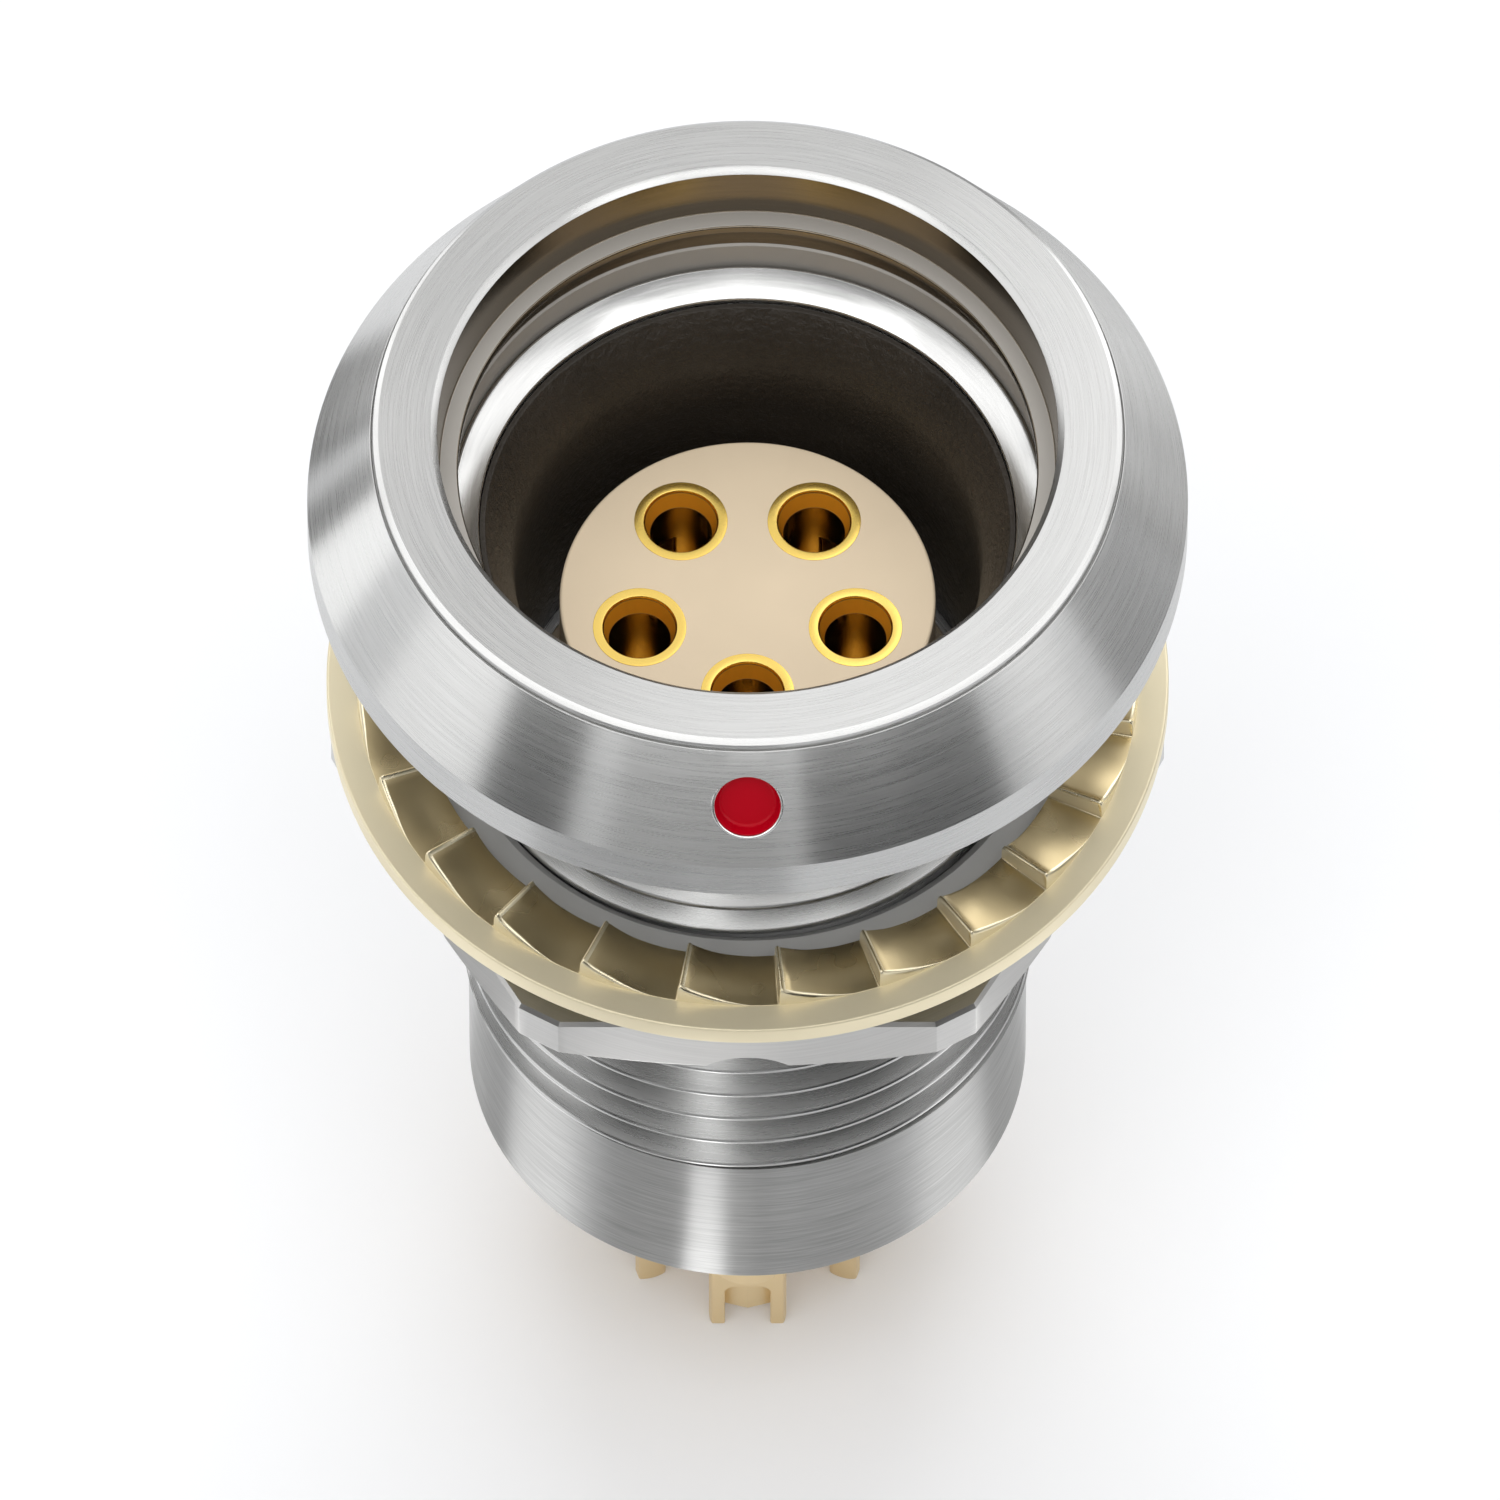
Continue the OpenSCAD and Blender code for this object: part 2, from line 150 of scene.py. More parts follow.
def rounded(corner_list, closed=True):
    """Outline through (u, v, radius) corners, with each corner rounded by its radius."""
    count = len(corner_list)
    # A rounding takes up less than half of each side, and turns by no more than this at a point.
    most, finest = 0.45, math.radians(15)
    outline = []
    for i, (u, v, radius) in enumerate(corner_list):
        here = Vector((u, v))
        ends = not closed and i in (0, count - 1)
        if radius <= 0 or ends:
            outline.append((u, v))
            continue
        before = Vector(corner_list[i - 1][:2]) - here
        after = Vector(corner_list[(i + 1) % count][:2]) - here
        opening = before.angle(after)
        reach = min(radius / math.tan(opening / 2), most * before.length, most * after.length)
        radius = reach * math.tan(opening / 2)
        back, ahead = before.normalized(), after.normalized()
        middle = here + (back + ahead).normalized() * (radius / math.sin(opening / 2))
        start = here + back * reach - middle
        turn = start.angle_signed(here + ahead * reach - middle)
        steps = max(2, math.ceil(abs(turn) / finest))
        for k in range(steps + 1):
            outline.append(tuple(middle + Matrix.Rotation(-turn * k / steps, 2) @ start))
    return outline


def fine_outline(outline, longest):
    """The same outline with points added, so that no side is longer than asked."""
    fine = []
    for i, start in enumerate(outline):
        start, end = Vector(start), Vector(outline[(i + 1) % len(outline)])
        parts = max(1, math.ceil((end - start).length / longest))
        fine += [tuple(start.lerp(end, k / parts)) for k in range(parts)]
    return fine


def at_angle(section, angle):
    """Points of a section of (radius, height) at an angle round the axis."""
    return [(r * math.cos(angle), r * math.sin(angle), z) for r, z in section]


def grid(columns, rows, join_columns=True, join_rows=True, first=0):
    """Faces between columns of points, where the last column and row may join the first ones."""
    faces = []
    for k in range(columns if join_columns else columns - 1):
        a, b = first + k * rows, first + (k + 1) % columns * rows
        for i in range(rows if join_rows else rows - 1):
            j = (i + 1) % rows
            faces.append((a + i, b + i, b + j, a + j))
    return faces


def turned(outline, segments=192, start=0.0, sweep=360.0, closed=True):
    """Points and faces of an outline of (radius, height) turned about the axis."""
    full = abs(sweep) >= 360.0
    columns = segments if full else segments + 1
    points = []
    for k in range(columns):
        points += at_angle(outline, math.radians(start + sweep * k / segments))
    rows = len(outline)
    faces = grid(columns, rows, full, closed)
    if not full:
        faces.append(tuple(range(rows)))
        faces.append(tuple(reversed(range(segments * rows, (segments + 1) * rows))))
    return points, faces


def block(low, high):
    """Points and faces of a box between two corners."""
    points = [(x, y, z) for x in (low[0], high[0]) for y in (low[1], high[1]) for z in (low[2], high[2])]
    faces = [(0, 1, 3, 2), (4, 6, 7, 5), (0, 4, 5, 1), (2, 3, 7, 6), (0, 2, 6, 4), (1, 5, 7, 3)]
    return points, faces


def prism(outline, low, high):
    """Points and faces of an outline of (x, y) raised from one height to another."""
    count = len(outline)
    points = [(x, y, z) for z in (low, high) for x, y in outline]
    faces = [tuple(reversed(range(count))), tuple(range(count, 2 * count))]
    faces += [(i, (i + 1) % count, count + (i + 1) % count, count + i) for i in range(count)]
    return points, faces


def solid(name, points, faces, place=None):
    """A new object in the scene, from points in millimetres that may be moved by a matrix first."""
    weld = 1e-4
    bm = bmesh.new()
    verts = [bm.verts.new(place @ Vector(p) if place else p) for p in points]
    for face in faces:
        if len(set(face)) > 2:
            bm.faces.new([verts[i] for i in face])
    bmesh.ops.remove_doubles(bm, verts=bm.verts, dist=weld)
    bmesh.ops.dissolve_degenerate(bm, edges=bm.edges, dist=weld)
    bmesh.ops.recalc_face_normals(bm, faces=bm.faces)
    bmesh.ops.scale(bm, vec=(MM, MM, MM), verts=bm.verts)
    mesh = bpy.data.meshes.new(name)
    bm.to_mesh(mesh)
    bm.free()
    thing = bpy.data.objects.new(name, mesh)
    bpy.context.scene.collection.objects.link(thing)
    return thing


def combine(thing, others, operation):
    """Cuts the other objects from a thing, or adds them to it, and deletes them."""
    for other in others:
        step = thing.modifiers.new("combine", "BOOLEAN")
        step.object = other
        step.operation = operation
        step.solver = "EXACT"
    seen = thing.evaluated_get(bpy.context.evaluated_depsgraph_get())
    old = thing.data
    thing.modifiers.clear()
    thing.data = bpy.data.meshes.new_from_object(seen)
    thing.data.name = old.name
    bpy.data.meshes.remove(old)
    for other in others:
        bpy.data.meshes.remove(other.data)


def round_edges(thing, radius):
    """Rounds the edges of a mesh, apart from those that hardly turn."""
    flat, least = math.radians(1), math.radians(30)
    bm = bmesh.new()
    bm.from_mesh(thing.data)
    bmesh.ops.dissolve_limit(bm, angle_limit=flat, verts=bm.verts, edges=bm.edges)
    sharp = [e for e in bm.edges if e.is_manifold and e.calc_face_angle() > least]
    bmesh.ops.bevel(
        bm, geom=sharp, offset=radius * MM, segments=3, profile=0.5, affect="EDGES", clamp_overlap=True)
    bm.to_mesh(thing.data)
    bm.free()


def dress(thing, material, body, slot, *nodes):
    """Smooths a piece, gives it its material, and ties it to the body and the CAD nodes it stands for."""
    sharp_angle = math.radians(40)
    thing.data.materials.clear()
    thing.data.materials.append(material)
    thing.data.polygons.foreach_set("use_smooth", [True] * len(thing.data.polygons))
    thing.data.set_sharp_from_angle(angle=sharp_angle)
    thing.modifiers.new("even_shading", "WEIGHTED_NORMAL").keep_sharp = True
    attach(thing, body)
    if nodes:
        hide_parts(*nodes)


# Materials

# A noise texture's values keep mostly to this span.
NOISE_SPAN = {"From Min": 0.3, "From Max": 0.7}


def add(tree, kind, inputs=(), **settings):
    """Adds a node with its settings; an input's value is set, and a socket is linked to it."""
    node = tree.nodes.new(kind)
    for key, value in settings.items():
        setattr(node, key, value)
    for key, value in dict(inputs).items():
        if isinstance(value, bpy.types.NodeSocket):
            tree.links.new(value, node.inputs[key])
        else:
            node.inputs[key].default_value = value
    return node


def blank(name):
    """An empty material and its node tree."""
    material = bpy.data.materials.get(name) or bpy.data.materials.new(name)
    material.use_nodes = True
    material.node_tree.nodes.clear()
    return material, material.node_tree


def around_axis(tree):
    """Sockets with the distance from the axis and the height, in metres, and the direction from the axis."""
    place = add(tree, "ShaderNodeTexCoord").outputs["Object"]
    flat = add(tree, "ShaderNodeVectorMath", {0: place, 1: (1, 1, 0)}, operation="MULTIPLY")
    out = add(tree, "ShaderNodeVectorMath", {0: flat.outputs[0]}, operation="LENGTH")
    away = add(tree, "ShaderNodeVectorMath", {0: flat.outputs[0]}, operation="NORMALIZE")
    split = add(tree, "ShaderNodeSeparateXYZ", {"Vector": place})
    return out.outputs["Value"], split.outputs["Z"], away.outputs["Vector"]


def turned_steel(name, base, roughness, stretch, lines):
    """Turned and brushed stainless steel: fine rings round the axis that spread each highlight."""
    material, tree = blank(name)
    out, height, away = around_axis(tree)
    # A lathe's feed is too fine to show, so the rings are drawn coarser; each fades along its length.
    ring_mm, fade_mm, relief_mm = 0.08, 0.3, 0.01
    # The rings follow the height less this share of the radius, so flat faces and walls both have them.
    share, uneven, lighter, cut = -1.6, 0.02, 0.8, 0.6
    across = add(tree, "ShaderNodeMath", {0: out, 1: share, 2: height}, operation="MULTIPLY_ADD")
    along = add(tree, "ShaderNodeVectorMath", {0: away, "Scale": fade_mm * MM}, operation="SCALE")
    up = add(tree, "ShaderNodeCombineXYZ", {"Z": across.outputs[0]})
    rings = add(tree, "ShaderNodeVectorMath", {0: along.outputs[0], 1: up.outputs[0]}, operation="ADD")
    fine = add(tree, "ShaderNodeTexNoise", {
        "Vector": rings.outputs[0], "Scale": 1 / (ring_mm * MM), "Detail": 3.0, "Roughness": 0.65})
    rough = add(tree, "ShaderNodeMapRange", {
        "Value": fine.outputs["Fac"], **NOISE_SPAN,
        "To Min": roughness - uneven, "To Max": roughness + uneven})
    tone = add(tree, "ShaderNodeMapRange", {
        "Value": fine.outputs["Fac"], **NOISE_SPAN, "To Min": 1 - lines, "To Max": 1 + lighter * lines})
    tint = add(tree, "ShaderNodeMix", {
        "Factor": 1.0, "A": (*base, 1.0), "B": tone.outputs[0]}, data_type="RGBA", blend_type="MULTIPLY")
    bump = add(tree, "ShaderNodeBump", {
        "Height": fine.outputs["Fac"], "Strength": cut * lines, "Distance": relief_mm * MM})
    # A quarter turn lays the stretch of each highlight across the rings.
    tangent = add(tree, "ShaderNodeTangent", direction_type="RADIAL", axis="Z")
    shader = add(tree, "ShaderNodeBsdfPrincipled", {
        "Base Color": tint.outputs["Result"], "Metallic": 1.0, "Roughness": rough.outputs[0],
        "Anisotropic": stretch, "Anisotropic Rotation": 0.25,
        "Tangent": tangent.outputs[0], "Normal": bump.outputs[0]})
    add(tree, "ShaderNodeOutputMaterial", {"Surface": shader.outputs[0]})
    return material


def satin_plate(name, base, roughness, grain_mm, mottle, metal=1.0):
    """Plated, burnished or blasted metal: a soft sheen with a slight mottle and a fine tooth."""
    material, tree = blank(name)
    cloud_mm, relief_mm = 2.5, 0.02
    place = add(tree, "ShaderNodeTexCoord").outputs["Object"]
    grain = add(tree, "ShaderNodeTexNoise", {
        "Vector": place, "Scale": 1 / (grain_mm * MM), "Detail": 3.0, "Roughness": 0.6})
    cloud = add(tree, "ShaderNodeTexNoise", {
        "Vector": place, "Scale": 1 / (cloud_mm * MM), "Detail": 2.0, "Roughness": 0.5})
    rough = add(tree, "ShaderNodeMapRange", {
        "Value": cloud.outputs["Fac"], **NOISE_SPAN,
        "To Min": roughness - mottle, "To Max": roughness + mottle})
    bump = add(tree, "ShaderNodeBump", {
        "Height": grain.outputs["Fac"], "Strength": 0.08, "Distance": relief_mm * MM})
    shader = add(tree, "ShaderNodeBsdfPrincipled", {
        "Base Color": (*base, 1.0), "Metallic": metal, "Roughness": rough.outputs[0],
        "Normal": bump.outputs[0]})
    add(tree, "ShaderNodeOutputMaterial", {"Surface": shader.outputs[0]})
    return material


def blasted_steel(name, base):
    """Steel blasted dull, which stays light where bright steel would mirror only the dark around it."""
    return satin_plate(name, base, roughness=0.5, grain_mm=0.1, mottle=0.05, metal=0.25)


def moulded(name, base, roughness, grain_mm, depth_mm, strength, variation, gloss=0.5):
    """A moulded polymer: slight flow clouds in its colour, and a spark-eroded grain that dulls the gloss."""
    material, tree = blank(name)
    cloud_mm = 4
    place = add(tree, "ShaderNodeTexCoord").outputs["Object"]
    grain = add(tree, "ShaderNodeTexNoise", {
        "Vector": place, "Scale": 1 / (grain_mm * MM), "Detail": 4.0, "Roughness": 0.65, "Distortion": 0.4})
    cloud = add(tree, "ShaderNodeTexNoise", {"Vector": place, "Scale": 1 / (cloud_mm * MM), "Detail": 2.0})
    tone = add(tree, "ShaderNodeMapRange", {
        "Value": cloud.outputs["Fac"], **NOISE_SPAN, "To Min": 1 - variation, "To Max": 1 + variation})
    tint = add(tree, "ShaderNodeMix", {
        "Factor": 1.0, "A": (*base, 1.0), "B": tone.outputs[0]}, data_type="RGBA", blend_type="MULTIPLY")
    bump = add(tree, "ShaderNodeBump", {
        "Height": grain.outputs["Fac"], "Strength": strength, "Distance": depth_mm * MM})
    shader = add(tree, "ShaderNodeBsdfPrincipled", {
        "Base Color": tint.outputs["Result"], "Roughness": roughness, "IOR": 1.55,
        "Specular IOR Level": gloss, "Normal": bump.outputs[0]})
    add(tree, "ShaderNodeOutputMaterial", {"Surface": shader.outputs[0]})
    return material


def stove_enamel(name, base):
    """Stove enamel: it flows out glossy and keeps a faint ripple where it pooled."""
    material, tree = blank(name)
    ripple_mm, relief_mm = 0.9, 0.05
    place = add(tree, "ShaderNodeTexCoord").outputs["Object"]
    ripple = add(tree, "ShaderNodeTexNoise", {"Vector": place, "Scale": 1 / (ripple_mm * MM), "Detail": 1.0})
    bump = add(tree, "ShaderNodeBump", {
        "Height": ripple.outputs["Fac"], "Strength": 0.1, "Distance": relief_mm * MM})
    shader = add(tree, "ShaderNodeBsdfPrincipled", {
        "Base Color": (*base, 1.0), "Roughness": 0.25, "IOR": 1.5, "Specular IOR Level": 0.12,
        "Normal": bump.outputs[0]})
    add(tree, "ShaderNodeOutputMaterial", {"Surface": shader.outputs[0]})
    return material


def plated_contact(name, gold, flash, bare, lead_in):
    """Gold plate over turned brass: bright and smooth in the socket, paler and duller on the solder tail."""
    material, tree = blank(name)
    height = around_axis(tree)[1]
    # The change from socket plate to tail flash is hidden inside the rear insulator.
    flash_top, plate_low = 9 * MM, 14 * MM
    tail_rough, socket_rough = 0.4, 0.17
    share = add(tree, "ShaderNodeMapRange", {
        "Value": height, "From Min": flash_top, "From Max": plate_low, "To Min": 0.0, "To Max": 1.0})
    # Bright plate on the rim, a darker matt one on the lead-in, which takes some light where a mirror would
    # show only the dark hole, and little plate in the drilled hole below it.
    mouth, mouth_depth = CONTACT_TOP * MM, 1.0 * MM
    depth = add(tree, "ShaderNodeMapRange", {
        "Value": height, "From Min": mouth - mouth_depth, "From Max": mouth, "To Min": 0.0, "To Max": 1.0})
    plate = add(tree, "ShaderNodeValToRGB", {"Fac": depth.outputs[0]})
    sheen = add(tree, "ShaderNodeValToRGB", {"Fac": depth.outputs[0]})
    # Share of the mouth's depth, colour and metallic.
    stops = ((0.22, bare, 1.0), (0.27, lead_in, 0.2), (0.88, lead_in, 0.2), (0.94, gold, 1.0))
    for ramp, values in ((plate, [c for _, c, _ in stops]), (sheen, [(m, m, m) for _, _, m in stops])):
        ramp.color_ramp.elements.remove(ramp.color_ramp.elements[0])
        ramp.color_ramp.elements[0].position = stops[0][0]
        ramp.color_ramp.elements[0].color = (*values[0], 1.0)
        for (position, _, _), value in zip(stops[1:], values[1:]):
            ramp.color_ramp.elements.new(position).color = (*value, 1.0)
    tint = add(tree, "ShaderNodeMix", {
        "Factor": share.outputs[0], "A": (*flash, 1.0), "B": plate.outputs[0]}, data_type="RGBA")
    grain_mm, relief_mm = 0.08, 0.01
    place = add(tree, "ShaderNodeTexCoord").outputs["Object"]
    grain = add(tree, "ShaderNodeTexNoise", {"Vector": place, "Scale": 1 / (grain_mm * MM), "Detail": 2.0})
    rough = add(tree, "ShaderNodeMapRange", {
        "Value": share.outputs[0], "From Min": 0.0, "From Max": 1.0,
        "To Min": tail_rough, "To Max": socket_rough})
    bump = add(tree, "ShaderNodeBump", {
        "Height": grain.outputs["Fac"], "Strength": 0.08, "Distance": relief_mm * MM})
    shader = add(tree, "ShaderNodeBsdfPrincipled", {
        "Base Color": tint.outputs["Result"], "Metallic": sheen.outputs[0], "Roughness": rough.outputs[0],
        "Normal": bump.outputs[0]})
    add(tree, "ShaderNodeOutputMaterial", {"Surface": shader.outputs[0]})
    return material


# Pieces


class MakeShell(bpy.types.Operator):
    """Turns the flange and barrel in one piece and cuts the barrel's thread."""

    bl_idname = "receptacle.make_shell"
    bl_label = "Shell"

    def execute(self, context):
        sizes = context.scene.receptacle_sizes
        barrel_r, barrel_h, segments = 10.0, 25.6, 192
        low, underside = COLLAR_HIGH.z, COLLAR_HIGH.z + barrel_h
        pitch, depth = sizes.thread_pitch / MM, sizes.thread_depth / MM
        core_r = barrel_r - depth
        section = self.section(core_r, underside, sizes.turned_round / MM)
        # One pitch of the thread: share of the pitch and share of the depth.
        form = [(0.0, 0.0), (0.08, 0.01), (0.13, 0.07), (0.41, 0.9), (0.44, 0.97), (0.47, 1.0),
                (0.53, 1.0), (0.56, 0.97), (0.59, 0.9), (0.87, 0.07), (0.92, 0.01)]
        turns = math.ceil((underside - low) / pitch) + 3
        phase = sizes.thread_phase / MM
        first = phase - pitch * (math.ceil((phase - low) / pitch) + 1.5)
        points = []
        for k in range(segments + 1):
            lead = pitch * k / segments
            column = list(section)
            for turn in range(turns):
                for share, rise in form:
                    z = first + lead + (turn + share) * pitch
                    # The thread runs out below the flange, and runs up to the collar's end.
                    ease = min(max((underside - z) / pitch - 0.5, 0.0), 1.0)
                    column.append((core_r + depth * rise * ease, min(max(z, low), underside)))
            points += at_angle(column, 2 * math.pi * k / segments - QUARTER_TURN)
        shell = solid("shell_turned", points, grid(segments + 1, len(column), join_columns=False))
        seat = dot_place()
        recess_r, recess_low, lip_r, lip_round = 1.18, -0.6, 1.21, 0.07
        recess = [(0, recess_low), (recess_r, recess_low), (recess_r, 1), (0, 1)]
        combine(shell, [solid("dot_recess", *turned(recess, 96), seat)], "DIFFERENCE")
        lip = circle(lip_round, 16, lip_r)
        combine(shell, [solid("dot_lip", *turned(lip, 96), seat)], "UNION")
        colours = context.scene.receptacle_colours
        brushed = turned_steel(
            "brushed stainless steel", colours.steel, roughness=0.28, stretch=0.8, lines=0.11)
        dress(shell, brushed, "receptacle", "steel", "shell")
        self.finish(shell, seat, underside, colours)
        return {"FINISHED"}

    def section(self, core_r, underside, edge):
        """Half section, as an open outline: the flange from below, its front bore and the rear bore."""
        flange_r, bevel, band_h = SHELL_HIGH.x, 0.2, 1.9
        # Radii of the bore, from the front to the rear.
        pilot_r, ledge_r, latch_r, ring_r, shoulder_r = 10.7, 10.05, 10.5, 10.42, 10.3
        rib_r, liner_r, stop_r, rear_r, end_r = 9.35, 8.68, 7.75, 8.4, 9.0
        ledge, latch_low, shoulder, stop = FACE_Z - 2.4, FACE_Z - 5.5, FACE_Z - 5.15, FACE_Z - 18.5
        return rounded([
            (core_r, underside, 0),
            (flange_r - bevel, underside, edge), (flange_r, underside + bevel, edge),
            (flange_r, underside + band_h, 0.02),
            # The narrow groove round the top of the cone, and the two chamfers of the face.
            (13.1, FACE_Z - 0.38, 0.02), (13.02, FACE_Z - 0.52, 0.01), (13.0, FACE_Z - 0.18, 0.02),
            (12.82, FACE_Z, 0.02), (10.99, FACE_Z, 0.02), (10.77, FACE_Z - 0.22, 0.02),
            (pilot_r, ledge, 0.06), (ledge_r, ledge, edge), (ledge_r, FACE_Z - 2.8, edge),
            (latch_r, FACE_Z - 3.2, 0.3), (latch_r, FACE_Z - 4.1, 0),
            (ring_r, FACE_Z - 4.18, 0.03), (ring_r, latch_low, 0.03),
            (shoulder_r, latch_low, 0.06), (shoulder_r, shoulder, edge),
            (rib_r, FACE_Z - 5.9, edge), (rib_r, FACE_Z - 6.1, 0.04),
            (liner_r, FACE_Z - 8.0, 0.3), (liner_r, stop, 0),
            (stop_r, stop, 0.05), (stop_r, FACE_Z - 19.5, 0.05),
            (rear_r, FACE_Z - 19.5, 0), (rear_r, SHELL_LOW.z, 0.05),
            (end_r, SHELL_LOW.z, 0.05), (end_r, COLLAR_HIGH.z, 0), (core_r, COLLAR_HIGH.z, 0),
        ], closed=False)

    def finish(self, shell, seat, underside, colours):
        """Gives the thread, the bore and the dot's edge finishes of their own: the bore is darker as painted
        shade, the rib and the dot's edge lighter as a painted highlight.
        """
        # The bore and the thread are left as cut, without the flange's brushing; the bore's wall and grooves
        # are darker and browner, as painted shade.
        for made, base, roughness, stretch, lines in (
            ("thread-cut", colours.steel, 0.28, 0.4, 0.03),
            ("bored_painted_shade", colours.bore_steel_painted_shade, 0.18, 0.4, 0.1),
            ("polished_painted_highlight", colours.polished_painted_highlight, 0.2, 0.3, 0.09),
        ):
            shell.data.materials.append(
                turned_steel(f"{made} stainless steel", base, roughness, stretch, lines))
        shell.data.materials.append(blasted_steel("blasted stainless steel", colours.step_steel))
        thread, bored_painted_shade, polished_painted_highlight, blasted = 1, 2, 3, 4
        chamfer_deep, lip_reach, lip_face = 0.24, 1.285, 0.05 * MM**2
        to_dot = seat.inverted()
        for face in shell.data.polygons:
            out, z, up = math.hypot(face.center.x, face.center.y) / MM, face.center.z / MM, face.normal.z
            # Each zone is known by its depth below the face and its distance from the axis.
            deep = FACE_Z - z
            beside = to_dot @ (face.center / MM)
            barrel = z < underside and out < 10.1
            chamfer = deep < chamfer_deep and 0.2 < up < 0.9
            ledge = 2.3 < deep < 2.5 and out < 10.69 and up > 0.9
            ring = 4.12 < deep < 5.45 and 10.35 < out < 10.47
            rib = 5.1 < deep < 8 and out < 10.31
            wall = chamfer_deep < deep < 5.6 and out < 10.76
            if barrel or chamfer:
                face.material_index = thread
            elif ledge or ring:
                face.material_index = blasted
            # The rib is polished and lighter, a painted highlight; so is the dot's edge below.
            elif rib:
                face.material_index = polished_painted_highlight
            # The wall and grooves of the front bore take the darker tone, painted shade.
            elif wall:
                face.material_index = bored_painted_shade
            elif math.hypot(beside.x, beside.y) < lip_reach and -1 < beside.z < 0.1 and face.area < lip_face:
                face.material_index = polished_painted_highlight


def dot_place():
    """Matrix that puts the axis of the alignment dot on the flange's cone, at its front."""
    top_r, low_r, top_z, low_z, share = 13.0, SHELL_HIGH.x, FACE_Z - 0.5, FACE_Z - 4.4, 0.47
    tilt = math.atan2(low_r - top_r, top_z - low_z)
    radius = top_r + share * (low_r - top_r)
    height = top_z - share * (top_z - low_z)
    return Matrix.Translation((0, -radius, height)) @ Matrix.Rotation(QUARTER_TURN - tilt, 4, "X")


class MakeDot(bpy.types.Operator):
    """Lines the recess in the flange's cone with red enamel."""

    bl_idname = "receptacle.make_dot"
    bl_label = "Alignment dot"

    def execute(self, context):
        outer_r, rim_r, floor_r = 1.17, 1.12, 1.0
        under, rim, floor = -0.58, -0.05, -0.45
        outline = rounded([
            (0, under, 0), (outer_r, under, 0.02), (outer_r, rim, 0.02),
            (rim_r, rim, 0.02), (floor_r, floor, 0.15), (0, floor, 0)])
        dot = solid("enamel_dot", *turned(outline, 96), dot_place())
        material = stove_enamel("red stove enamel", context.scene.receptacle_colours.enamel)
        dress(dot, material, "receptacle", "dot", "alignment_dot")
        return {"FINISHED"}


class MakeCollar(bpy.types.Operator):
    """Turns the plain collar on the barrel's rear end."""

    bl_idname = "receptacle.make_collar"
    bl_label = "Rear collar"

    def execute(self, context):
        edge = context.scene.receptacle_sizes.turned_round / MM
        r, low, high = COLLAR_HIGH.x, COLLAR_LOW.z, COLLAR_HIGH.z
        lip_r, lip_h, seat_r, bevel = 7.3, 0.8, 9.03, 0.2
        outline = rounded([
            (lip_r, low, 0.05), (r - bevel, low, edge), (r, low + bevel, edge), (r, high, 0.06),
            (seat_r, high, 0.03), (seat_r, low + lip_h, 0.03), (lip_r, low + lip_h, 0.05)])
        collar = solid("collar_turned", *turned(outline))
        steel = context.scene.receptacle_colours.steel
        material = turned_steel(
            "coarse-brushed stainless steel", steel, roughness=0.42, stretch=0.95, lines=0.2)
        dress(collar, material, "receptacle", "steel", "rear_collar")
        return {"FINISHED"}


class MakeSleeve(bpy.types.Operator):
    """Moulds the dark liner of the mating bore, with its keyway at the front."""

    bl_idname = "receptacle.make_sleeve"
    bl_label = "Bore sleeve"

    def execute(self, context):
        mouth, low = SLEEVE_HIGH.z, SLEEVE_LOW.z
        bore_r, outer_r, mouth_r, mouth_w, flare, keyway = 8.1, 8.65, 9.33, 0.2, 1.9, 1.6
        outline = rounded([
            (mouth_r, mouth, 0.03), (mouth_r - mouth_w, mouth, 0.08), (bore_r, mouth - flare, 4.0),
            (bore_r, low, 0.05), (outer_r, low, 0.03), (outer_r, mouth - flare, 0.3)])
        half = math.degrees(math.asin(keyway / 2 / bore_r))
        sleeve = solid("sleeve_moulded", *turned(outline, 160, FRONT + half, 360 - 2 * half))
        base = context.scene.receptacle_colours.sleeve
        material = moulded(
            "moulded phenolic", base, roughness=0.36, grain_mm=0.3, depth_mm=0.1, strength=0.7,
            variation=0.25, gloss=0.25)
        dress(sleeve, material, "receptacle", "sleeve", "bore_sleeve")
        return {"FINISHED"}


def contact_place(i):
    """Matrix that puts contact i on its circle, with +X pointing away from the axis."""
    turn = Matrix.Rotation(math.radians(FRONT + 360 * i / CONTACTS), 4, "Z")
    return turn @ Matrix.Translation((CONTACT_CIRCLE_R, 0, 0))


class MakeInsulators(bpy.types.Operator):
    """Moulds the post that carries the sockets, and finishes the rear insulator."""

    bl_idname = "receptacle.make_insulators"
    bl_label = "Insulators"

    def execute(self, context):
        edge = context.scene.receptacle_sizes.moulded_round / MM
        face, low = POST_HIGH.z, POST_LOW.z
        foot_r, foot_h, post_r, hole_r = POST_HIGH.x, 5.5, 6.55, 1.605
        outline = rounded([
            (0, low, 0), (foot_r, low, 0.1), (foot_r, low + foot_h, 0.1), (post_r, low + foot_h, 0.1),
            (post_r, face, edge), (0, face, 0)], closed=False)
        post = solid("post_moulded", *turned(outline, closed=False))
        hole = [(0, low - 1), (hole_r, low - 1), (hole_r, face + 1), (0, face + 1)]
        cutters = [solid(f"hole_{i}", *turned(hole, 64), contact_place(i)) for i in range(CONTACTS)]
        combine(post, cutters, "DIFFERENCE")
        base = context.scene.receptacle_colours.insulator
        material = moulded(
            "moulded PEEK", base, roughness=0.5, grain_mm=0.12, depth_mm=0.02, strength=0.25,
            variation=0.03)
        dress(post, material, "receptacle", "insulator", "insulator_front")
        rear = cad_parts["insulator_rear"]
        rear.data.materials.clear()
        rear.data.materials.append(material)
        return {"FINISHED"}


